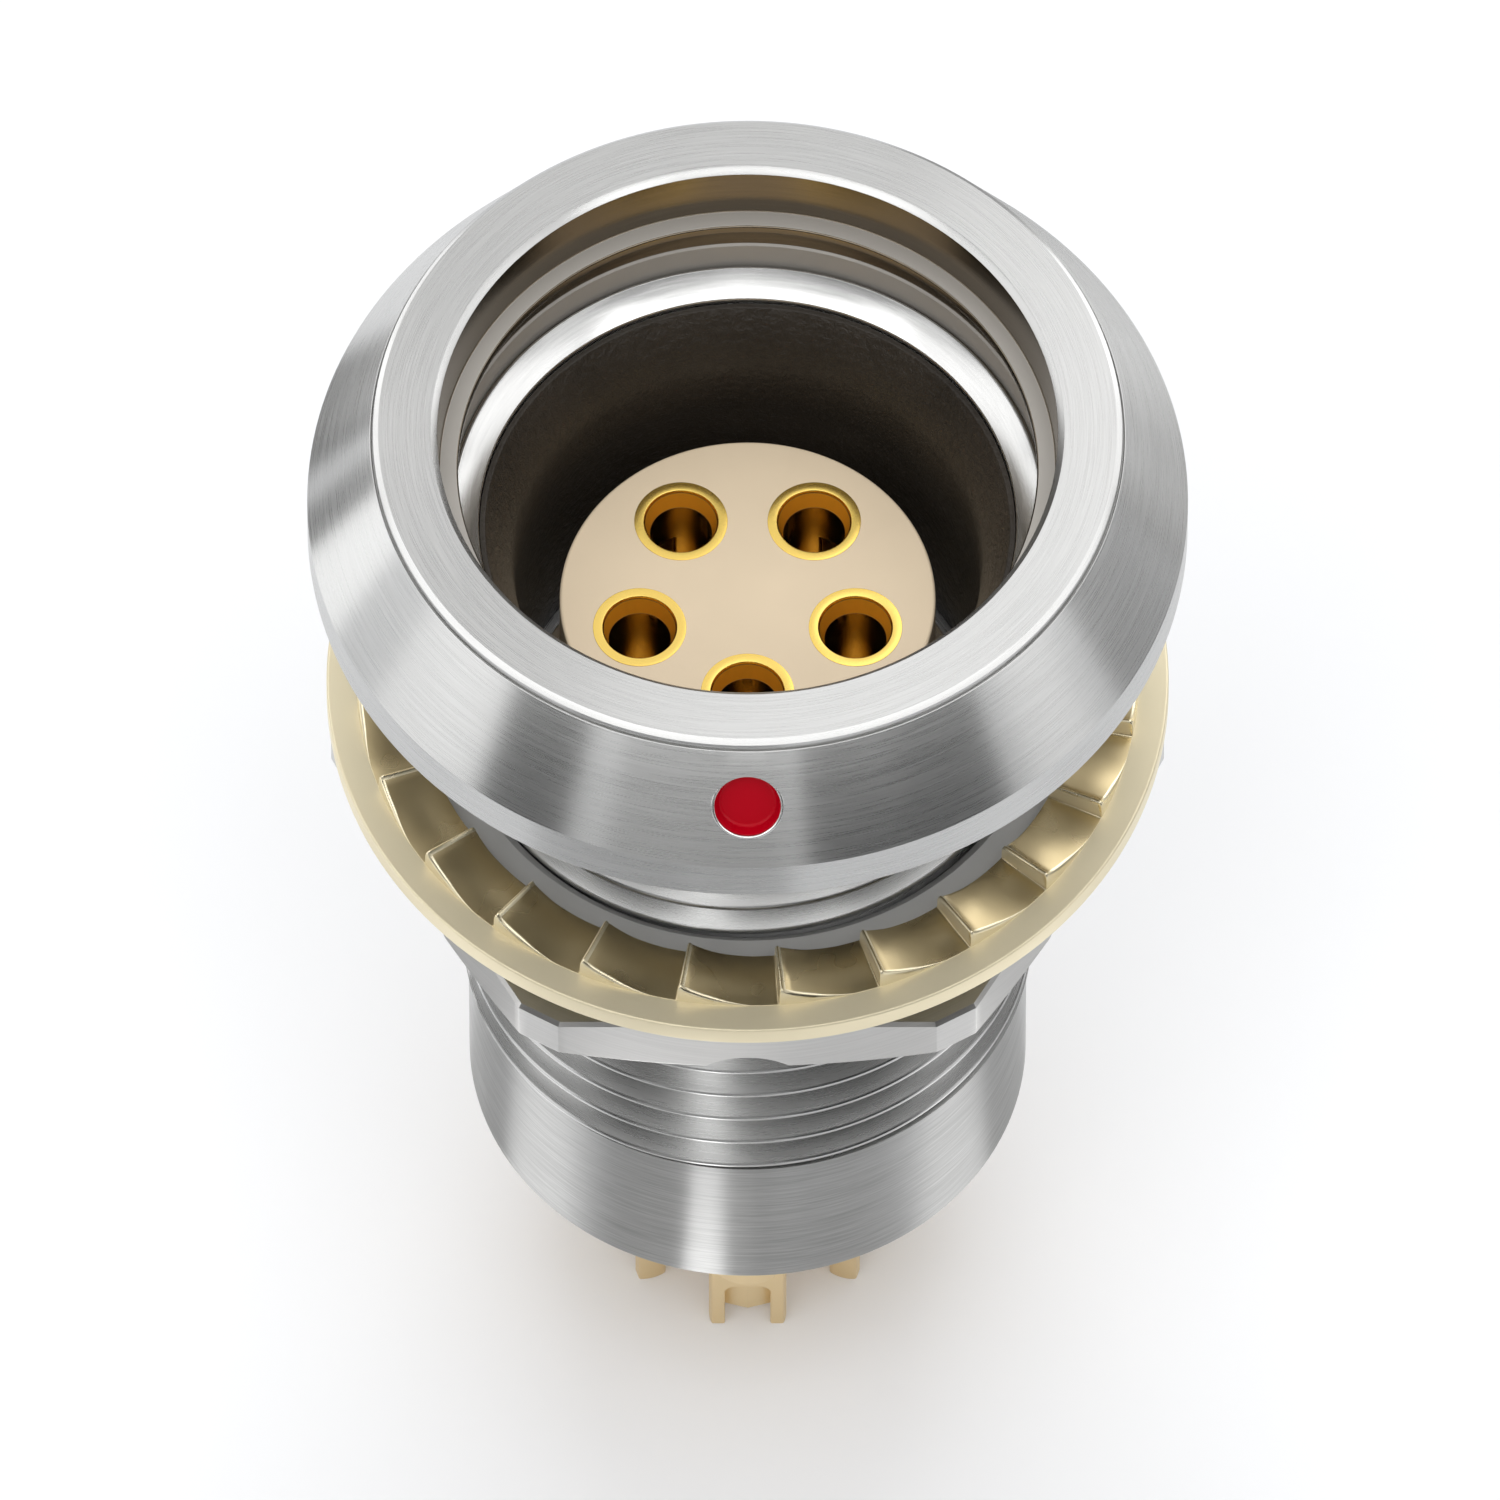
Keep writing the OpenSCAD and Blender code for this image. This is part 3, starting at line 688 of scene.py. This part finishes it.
class MakeContacts(bpy.types.Operator):
    """Turns the socket contacts, forks their tails, and finishes their spring clips."""

    bl_idname = "receptacle.make_contacts"
    bl_label = "Contacts"

    def execute(self, context):
        edge = context.scene.receptacle_sizes.contact_round / MM
        face, split = CONTACT_TOP, POST_LOW.z
        fork_h, fork_r, shank_r = 4.0, 1.37, 1.45
        hole_r, body_r, rim_r, rim_h, groove_r, shoulder_r = 1.08, 1.6, 1.63, 0.02, 1.36, 2.05
        groove_top, groove_low, shoulder_low = face - 2.2, face - 4.6, split - 1.5
        window_top, window_low, window_half = face - 2.6, face - 4.2, 0.5
        section = rounded([
            # The drilled hole and its tapered lead-in.
            (0, face - 9.65, 0), (hole_r, face - 9, 0), (hole_r, face - 0.76, 0.04),
            (1.26, face - 0.06, 0.04),
            # The rim on the post's face.
            (1.3, face + rim_h, 0.03), (rim_r, face + rim_h, 0.015), (rim_r, face, 0), (body_r, face, 0),
            # The clip's groove, the shoulder and the shank.
            (body_r, groove_top, 0), (groove_r, groove_top, 0), (groove_r, groove_low, 0),
            (body_r, groove_low, 0), (body_r, split, 0.05), (shoulder_r, split, 0.08),
            (shoulder_r, shoulder_low, 0.08), (shank_r, shoulder_low, 0.05), (shank_r, fork_h, edge),
            (0, fork_h, 0)], closed=False)
        contact = solid("contact", *turned(section, 96, closed=False))
        # The clip's pad reaches the hole through a window in the groove.
        window = solid("window", *block((0, -window_half, window_low), (2, window_half, window_top)))
        combine(contact, [window], "DIFFERENCE")
        combine(contact, [self.fork(fork_h, fork_r, edge)], "UNION")
        colours = context.scene.receptacle_colours
        material = plated_contact(
            "gold plate on brass", colours.gold, colours.tail, colours.bore, colours.lead_in)
        spring = satin_plate("spring bronze", colours.bronze, roughness=0.35, grain_mm=0.1, mottle=0.06)
        for i in range(CONTACTS):
            piece = contact.copy()
            piece.name = f"contact_turned_{i + 1}"
            piece.data = contact.data.copy()
            place = contact_place(i)
            place.translation *= MM
            piece.data.transform(place)
            context.scene.collection.objects.link(piece)
            dress(piece, material, "receptacle", "contact", f"contact_{i + 1}")
            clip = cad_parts[f"contact_clip_{i + 1}"]
            clip.data.materials.clear()
            clip.data.materials.append(spring)
        bpy.data.meshes.remove(contact.data)
        return {"FINISHED"}

    def fork(self, height, shank_r, edge):
        """The flattened tail: two prongs, and a thin ridged web set back between them."""
        plate, slot, arch, arch_round, web_low, lap = 1.0, 1.6, 2.4, 0.4, 0.65, 0.3
        # The plate's outline has the shank's own curve on its narrow sides.
        half = math.degrees(math.asin(plate / 2 / shank_r))
        section = []
        for side in (90, -90):
            for k in range(7):
                angle = math.radians(side + half * (1 - k / 3))
                section.append((shank_r * math.cos(angle), shank_r * math.sin(angle)))
        fork = solid("fork", *prism(section, 0, height + lap))
        gap = rounded([
            (-slot / 2, -1, 0), (slot / 2, -1, 0),
            (slot / 2, arch, arch_round), (-slot / 2, arch, arch_round)])
        outwards = Matrix.Rotation(QUARTER_TURN, 4, "Z") @ Matrix.Rotation(QUARTER_TURN, 4, "X")
        combine(fork, [solid("slot", *prism(gap, -2, 2), outwards)], "DIFFERENCE")
        round_edges(fork, edge)
        # Section of the web: a low ridge on its outer side.
        ridge = [(0.25, 0), (0.0, 0.9), (-0.3, 0.9), (-0.35, 0), (-0.3, -0.9), (0.0, -0.9)]
        web = solid("web", *prism(ridge, web_low, arch + lap))
        round_edges(web, edge / 2)
        combine(fork, [web], "UNION")
        return fork


class MakeWasher(bpy.types.Operator):
    """Stamps the lock washer: a flat disc with a ring of hollow ramp teeth."""

    bl_idname = "receptacle.make_washer"
    bl_label = "Lock washer"

    def execute(self, context):
        sizes = context.scene.receptacle_sizes
        edge = sizes.stamped_round / MM
        outer_r, hole_r, teeth_r = WASHER_HIGH.x, 11.6, 13.65
        disc_h, bead, phase = 0.8, 0.15, 4.7
        low, crest = WASHER_LOW.z, WASHER_HIGH.z
        top = low + disc_h
        rise = crest - top
        step = 2 * math.pi / sizes.tooth_count
        first = math.radians(FRONT + phase)
        points, faces = turned(rounded([
            (hole_r, low, edge), (outer_r, low, edge), (outer_r, top, edge), (hole_r, top, edge)]), 288)
        before = len(points)
        columns = []
        for tooth in range(sizes.tooth_count):
            for turn, height in self.tooth(teeth_r, rise, step, edge):
                column = self.column(hole_r, teeth_r, top, height, bead)
                columns.append(at_angle(column, first + tooth * step + turn))
        for column in columns:
            points += column
        faces += grid(len(columns), len(columns[0]), first=before)
        washer = solid("washer_stamped", points, faces)
        colours = context.scene.receptacle_colours
        satin = satin_plate(
            "satin pale gold plate", colours.washer, roughness=0.45, grain_mm=0.12, mottle=0.05, metal=0.6)
        dress(washer, satin, "washer", "washer", "lock_washer")
        # The die burnishes the ramps, which are also darker as painted shade; their crests and bevelled
        # edges keep the pale plate as painted highlight lines, and the disc and the risers stay dull.
        washer.data.materials.append(satin_plate(
            "burnished pale gold plate", colours.ramp, roughness=0.3, grain_mm=0.12, mottle=0.08))
        washer.data.materials.append(satin_plate(
            "worn pale gold plate", colours.washer, roughness=0.28, grain_mm=0.12, mottle=0.03))
        burnished_painted_shade, edge_painted_highlight, clear = 1, 2, 0.01
        for face in washer.data.polygons:
            out = math.hypot(face.center.x, face.center.y) / MM
            if face.center.z > (top + clear) * MM and out < teeth_r - clear:
                # Crests and bevels take the pale painted highlight, the upward ramps the darker painted
                # shade.
                if out > teeth_r - bead or 0.2 < face.normal.z < 0.8:
                    face.material_index = edge_painted_highlight
                elif face.normal.z > 0.5:
                    face.material_index = burnished_painted_shade
        return {"FINISHED"}

    def tooth(self, radius, rise, step, edge):
        """(angle, height) along one tooth at its outer end, from its crest to the next riser's foot."""
        run = radius * math.sin(step)
        low, dip, land = 0.95 * run, rise / 40, 0.02
        arc = (low**2 + (rise + dip) ** 2) / (2 * (rise + dip))

        def ramp(along):
            return max(arc - dip - math.sqrt(arc**2 - (low - along) ** 2), land)

        # The crest and the foot are rounded in shares of the edge's radius.
        crest = [
            (0.0, rise - 2.2 * edge), (0.08 * edge, rise - 1.2 * edge), (0.35 * edge, rise - 0.45 * edge),
            (0.8 * edge, rise - 0.08 * edge), (1.3 * edge, rise)]
        start = 2.4 * edge
        slope = [start + (low - start) * k / 12 for k in range(13)]
        slope = [(along, min(ramp(along), rise)) for along in slope]
        foot = [
            (run - 1.2 * edge, land), (run - 0.5 * edge, land + 0.12 * edge),
            (run - 0.12 * edge, land + 0.6 * edge)]
        return [(along / run * step, height) for along, height in crest + slope + foot]

    def column(self, hole_r, teeth_r, top, height, bead):
        """Half section of the ring of teeth with the given height at its outer end, rooted in the disc."""
        root, inset = top - 0.1, 0.15
        # Every line along a tooth points to the axis, so the height falls in step with the radius.
        inner = height * hole_r / teeth_r
        e = min(bead, 0.45 * height)
        return [
            (hole_r + inset, root), (teeth_r, root), (teeth_r, top + height - e),
            (teeth_r - 0.13 * e, top + height - 0.5 * e), (teeth_r - 0.5 * e, top + height - 0.13 * e),
            (teeth_r - e, top + height * (1 - e / teeth_r)),
            (hole_r + e, top + inner * (1 + e / hole_r)), (hole_r + 0.3 * e, top + inner - 0.3 * e),
            (hole_r, top + inner - e), (hole_r, top - 0.05),
        ]


class MakeNut(bpy.types.Operator):
    """Mills the hexagon nut with its clipped corners, round washer face and scalloped lower edge."""

    bl_idname = "receptacle.make_nut"
    bl_label = "Hex nut"

    def execute(self, context):
        edge = context.scene.receptacle_sizes.nut_round / MM
        flat_r, clip_r = NUT_HIGH.y, NUT_HIGH.x
        low, high = NUT_LOW.z, NUT_HIGH.z
        boss_h, boss_r, bore_r, bevel, chamfer, corner = 1.4, 12.3, 10.06, 0.14, 0.35, 0.06
        hex_top, fillet, longest = high - boss_h, 0.1, 0.35
        slope = math.tan(math.radians(30))
        side_half = math.pi / 6
        half = math.atan((clip_r / flat_r - math.cos(side_half)) / math.sin(side_half))
        reach = flat_r / math.cos(half)
        outline = []
        for side in range(6):
            for sign in (-1, 1):
                angle = math.radians(FRONT + 60 * side) + sign * half
                outline.append((reach * math.cos(angle), reach * math.sin(angle), corner))
        outline = fine_outline(rounded(outline), longest)
        points = []
        for x, y in outline:
            out = math.hypot(x, y)
            # The chamfer under the nut lifts the lower edge towards the corners.
            lift = low + max(out - flat_r, 0.0) * slope
            column = [
                (bore_r, low + chamfer), (bore_r + chamfer, low), (flat_r - 2 * edge, low),
                (flat_r - edge, low + 0.1 * edge),
                (max(out - 0.6 * edge, flat_r - 0.8 * edge), max(lift - 0.3 * edge, low + 0.2 * edge)),
                (out - 0.1 * edge, lift + 0.45 * edge), (out, lift + edge),
                (out, hex_top - bevel), (out - bevel, hex_top),
                (boss_r + fillet, hex_top), (boss_r, hex_top + fillet),
                (boss_r, high - edge), (boss_r - 0.3 * edge, high - 0.3 * edge), (boss_r - edge, high),
                (bore_r + chamfer, high), (bore_r, high - chamfer)]
            points += [(r * x / out, r * y / out, z) for r, z in column]
        nut = solid("nut_milled", points, grid(len(outline), len(column)))
        width, arch, deep = 3.1, 0.6, 0.5
        arch_r = ((width / 2) ** 2 + arch**2) / (2 * arch)
        cutters = []
        for side in range(6):
            place = (Matrix.Rotation(math.radians(60 * side), 4, "Z")
                     @ Matrix.Translation((0, -flat_r + deep, low - arch_r + arch))
                     @ Matrix.Rotation(QUARTER_TURN, 4, "X"))
            cutters.append(solid(f"scallop_{side}", *prism(circle(arch_r, 64), 0, deep + 1), place))
        combine(nut, cutters, "DIFFERENCE")
        colours = context.scene.receptacle_colours
        milled = turned_steel(
            "milled stainless steel", colours.nut_steel, roughness=0.3, stretch=0.5, lines=0.08)
        dress(nut, milled, "nut", "steel", "hex_nut")
        # The end face against the washer is blasted dull, so it stays light in the gap round the barrel.
        nut.data.materials.append(blasted_steel("blasted steel", colours.polished_painted_highlight))
        end_low = (high - chamfer - 0.01) * MM
        for face in nut.data.polygons:
            if face.normal.z > 0.5 and face.center.z > end_low:
                face.material_index = 1
        return {"FINISHED"}


# Stage

# Lamps give the soft light and its shadow, and cards are what the bright metal mirrors. Each has its
# direction round the object and above the floor in degrees, its distance, width and height in metres,
# and its level.
LAMPS = {
    "top_box": (90, 66, 0.7, 0.5, 0.5, 2.8),
    "front_box": (-90, 70, 0.7, 0.42, 0.36, 3.0),
    "left_box": (-130, 38, 0.7, 0.5, 0.5, 0.95),
    "right_box": (-50, 38, 0.7, 0.5, 0.5, 0.5),
}
CARDS = {
    # The flat face, and the shoulder with its rib in the bore.
    "face_card": (56, 67.5, 0.0656, 0.034, 0.07, 1.75),
    "shoulder_card": (-90, 57.4, 0.0558, 0.12, 0.014, 0.9),
    "shoulder_strip": (-85, 57.4, 0.055, 0.008, 0.014, 1.25),
    "rib_right_card": (-13, 54, 0.0334, 0.01, 0.012, 1.0),
    "rib_left_card": (-171, 52, 0.0338, 0.008, 0.012, 1.05),
    # The chamfers inside and outside the face, which show as thin white lines.
    "edge_front_card": (-90, 35, 0.0285, 0.026, 0.007, 2.0),
    "edge_back_card": (-90, 51, 0.0476, 0.05, 0.01, 3.4),
    "edge_rear_right": (28, 27.5, 0.0349, 0.016, 0.01, 2.6),
    "edge_far_right": (44, 18.3, 0.0332, 0.016, 0.01, 2.6),
    "edge_rear_left": (152, 27.5, 0.0349, 0.016, 0.01, 2.2),
    # The back of the cone, and the right-hand teeth.
    "low_back_right": (32, -10, 0.0404, 0.026, 0.014, 0.6),
    "low_back_left": (145, -9, 0.0333, 0.011, 0.012, 0.05),
    "low_side_left": (163, -3, 0.0353, 0.005, 0.012, 0.1),
    "tooth_card": (64, 8, 0.0405, 0.018, 0.054, 0.5),
    # Light and dark stripes on the front of the cone, and the band below it.
    "front_card": (-100, 6, 0.15, 0.1, 0.09, 0.42),
    "left_dark_card": (-136, 6, 0.145, 0.05, 0.13, 0.02),
    "right_dark_card": (-57, 6, 0.145, 0.115, 0.13, 0.0),
    "right_strip": (-22, 6, 0.15, 0.04, 0.09, 1.25),
    "left_strip": (-160, 6, 0.15, 0.07, 0.09, 1.6),
    "low_left_card": (161, -14, 0.13, 0.05, 0.03, 2.8),
    "low_right_card": (10, -5, 0.15, 0.09, 0.07, 0.12),
    "band_card": (-108, -38, 0.06, 0.05, 0.03, 0.1),
    # Stripes on the collar and a glint on the nut.
    "collar_card": (-90, -63, 0.04, 0.03, 0.012, 0.72),
    "collar_strip": (-102, -63.5, 0.0385, 0.003, 0.014, 3.2),
    "nut_strip": (-92, -54, 0.0408, 0.003, 0.012, 1.5),
    "collar_left_card": (-181, -60, 0.042, 0.012, 0.014, 0.35),
    "collar_right_card": (1, -60, 0.042, 0.012, 0.014, 0.6),
    # The thread, and the grey ceiling of the studio.
    "thread_card": (-107, 40, 0.3, 0.045, 0.14, 2.2),
    "ceiling_card": (-90, 44, 0.5, 0.9, 0.5, 0.24),
}
# Cards on the right that have a twin on the left: chamfers, stripes on the collar, and the studio's walls.
PAIRED_CARDS = {
    "edge_front_right": (-52, 35, 0.0283, 0.016, 0.007, 2.0),
    "edge_side_right": (-16, 30, 0.0274, 0.016, 0.007, 2.0),
    "edge_back_right": (-35, 47, 0.0433, 0.03, 0.012, 3.4),
    "edge_right_card": (10, 37.6, 0.0295, 0.02, 0.018, 1.75),
    "rim_right_card": (26, 13.7, 0.0424, 0.02, 0.009, 2.2),
    "rim_back_right": (44, 4.3, 0.0404, 0.02, 0.01, 2.2),
    "collar_right_strip": (-22, -60, 0.042, 0.011, 0.014, 1.8),
    "side_right_card": (-6, 34, 0.5, 0.5, 0.4, 0.3),
    "back_right_card": (52, 10, 0.2, 0.1, 0.12, 0.15),
}
WHITE = (1, 1, 1, 1)


class MakeStage(bpy.types.Operator):
    """Lays the white floor, hangs the lamps and sets up the camera."""

    bl_idname = "receptacle.make_stage"
    bl_label = "Stage"

    def execute(self, context):
        scene = context.scene
        scene.view_settings.view_transform = "Standard"
        self.floor(scene.receptacle_colours.floor)
        self.sky(scene)
        for name, (*place, level) in LAMPS.items():
            self.lamp(name, place, level)
        for name, (*place, level) in CARDS.items():
            self.card(name, place, level)
        for name, (turn, *place, level) in PAIRED_CARDS.items():
            self.card(name, (turn, *place), level)
            self.card(name.replace("right", "left"), (2 * FRONT - turn, *place), level)
        self.camera(scene)
        return {"FINISHED"}

    def floor(self, base):
        """A wide white floor that keeps the object's shadow."""
        reach, thick = 1500, 5
        floor = solid("floor", *block((-reach, -reach, -thick), (reach, reach, 0)))
        material, tree = blank("white paper floor")
        # White paper with a faint glow of its own, so that it reads as white and keeps the soft shadow.
        paper = add(tree, "ShaderNodeBsdfDiffuse", {"Color": (*base, 1.0)})
        lift = add(tree, "ShaderNodeEmission", {"Color": WHITE, "Strength": 0.06})
        both = add(tree, "ShaderNodeAddShader", {0: paper.outputs[0], 1: lift.outputs[0]})
        add(tree, "ShaderNodeOutputMaterial", {"Surface": both.outputs[0]})
        floor.data.materials.append(material)

    def sky(self, scene):
        """A plain white surround: full strength where the camera or a reflection sees it, less as light."""
        light_level, seen_level = 0.5, 1.0
        world = bpy.data.worlds.new("studio")
        world.use_nodes = True
        tree = world.node_tree
        tree.nodes.clear()
        path = add(tree, "ShaderNodeLightPath")
        seen = add(tree, "ShaderNodeMath", {
            0: path.outputs["Is Camera Ray"], 1: path.outputs["Is Glossy Ray"]}, operation="MAXIMUM")
        seen = add(tree, "ShaderNodeMath", {
            0: seen.outputs[0], 1: path.outputs["Is Transmission Ray"]}, operation="MAXIMUM")
        level = add(tree, "ShaderNodeMapRange", {
            "Value": seen.outputs[0], "To Min": light_level, "To Max": seen_level})
        back = add(tree, "ShaderNodeBackground", {"Color": WHITE, "Strength": level.outputs[0]})
        add(tree, "ShaderNodeOutputWorld", {"Surface": back.outputs[0]})
        scene.world = world

    def around(self, thing, turn, rise, distance):
        """Puts a thing round the middle of the object and turns its front, -Z, to it."""
        middle = Vector((0, 0, 0.04))
        turn, rise = math.radians(turn), math.radians(rise)
        away = Vector((math.cos(turn) * math.cos(rise), math.sin(turn) * math.cos(rise), math.sin(rise)))
        thing.location = middle + away * distance
        thing.rotation_euler = (-away).to_track_quat("-Z", "Y").to_euler()
        bpy.context.scene.collection.objects.link(thing)

    def lamp(self, name, place, radiance):
        """A soft box of the given radiance, which shows in no reflection."""
        turn, rise, distance, width, height = place
        data = bpy.data.lights.new(name, "AREA")
        data.shape = "RECTANGLE"
        data.size, data.size_y = width, height
        data.energy = radiance * math.pi * width * height
        lamp = bpy.data.objects.new(name, data)
        lamp.visible_camera = lamp.visible_glossy = False
        self.around(lamp, turn, rise, distance)

    def card(self, name, place, level):
        """A card that only reflections see, as bright or dark as asked: 1 is white."""
        turn, rise, distance, width, height = place
        mesh = bpy.data.meshes.new(name)
        x, y = width / 2, height / 2
        mesh.from_pydata([(-x, -y, 0), (x, -y, 0), (x, y, 0), (-x, y, 0)], [], [(0, 1, 2, 3)])
        material, tree = blank(name)
        glow = add(tree, "ShaderNodeEmission", {"Color": WHITE, "Strength": level})
        add(tree, "ShaderNodeOutputMaterial", {"Surface": glow.outputs[0]})
        material.cycles.emission_sampling = "NONE"
        mesh.materials.append(material)
        card = bpy.data.objects.new(name, mesh)
        card.visible_camera = card.visible_diffuse = card.visible_shadow = card.visible_transmission = False
        self.around(card, turn, rise, distance)

    def camera(self, scene):
        """A long lens at the photograph's angle: 56.8 degrees above the floor, in front of the dot."""
        data = bpy.data.cameras.new("camera")
        data.sensor_width, data.lens = 36.0, 1400.0
        data.clip_start, data.clip_end = 0.05, 20.0
        frame_mm, target = 52.45, Vector((0.084, 0, 30.28)) * MM
        rise = math.radians(56.82)
        distance = frame_mm * MM * data.lens / data.sensor_width
        camera = bpy.data.objects.new("camera", data)
        camera.location = target + distance * Vector((0, -math.cos(rise), math.sin(rise)))
        camera.rotation_euler = (QUARTER_TURN - rise, 0, 0)
        scene.collection.objects.link(camera)
        scene.camera = camera


OPERATORS = (
    MakeStage, MakeShell, MakeDot, MakeCollar, MakeSleeve, MakeInsulators, MakeContacts, MakeWasher, MakeNut,
)


class ReceptaclePanel(bpy.types.Panel):
    """Lists the receptacle's pieces, sizes and colours in the sidebar."""

    bl_idname = "VIEW3D_PT_receptacle"
    bl_label = "Receptacle"
    bl_space_type = "VIEW_3D"
    bl_region_type = "UI"
    bl_category = "Receptacle"

    def draw(self, context):
        layout = self.layout
        for operator in OPERATORS:
            layout.operator(operator.bl_idname)
        for group in (context.scene.receptacle_sizes, context.scene.receptacle_colours):
            for name in group.__annotations__:
                layout.prop(group, name)


CLASSES = (ReceptacleSizes, ReceptacleColours, *OPERATORS, ReceptaclePanel)


def register():
    for item in CLASSES:
        bpy.utils.register_class(item)
    bpy.types.Scene.receptacle_sizes = PointerProperty(type=ReceptacleSizes)
    bpy.types.Scene.receptacle_colours = PointerProperty(type=ReceptacleColours)


def unregister():
    del bpy.types.Scene.receptacle_colours
    del bpy.types.Scene.receptacle_sizes
    for item in reversed(CLASSES):
        bpy.utils.unregister_class(item)


def main():
    register()
    bpy.ops.receptacle.make_stage()
    bpy.ops.receptacle.make_shell()
    bpy.ops.receptacle.make_dot()
    bpy.ops.receptacle.make_collar()
    bpy.ops.receptacle.make_sleeve()
    bpy.ops.receptacle.make_insulators()
    bpy.ops.receptacle.make_contacts()
    bpy.ops.receptacle.make_washer()
    bpy.ops.receptacle.make_nut()


if __name__ == "__main__":
    main()
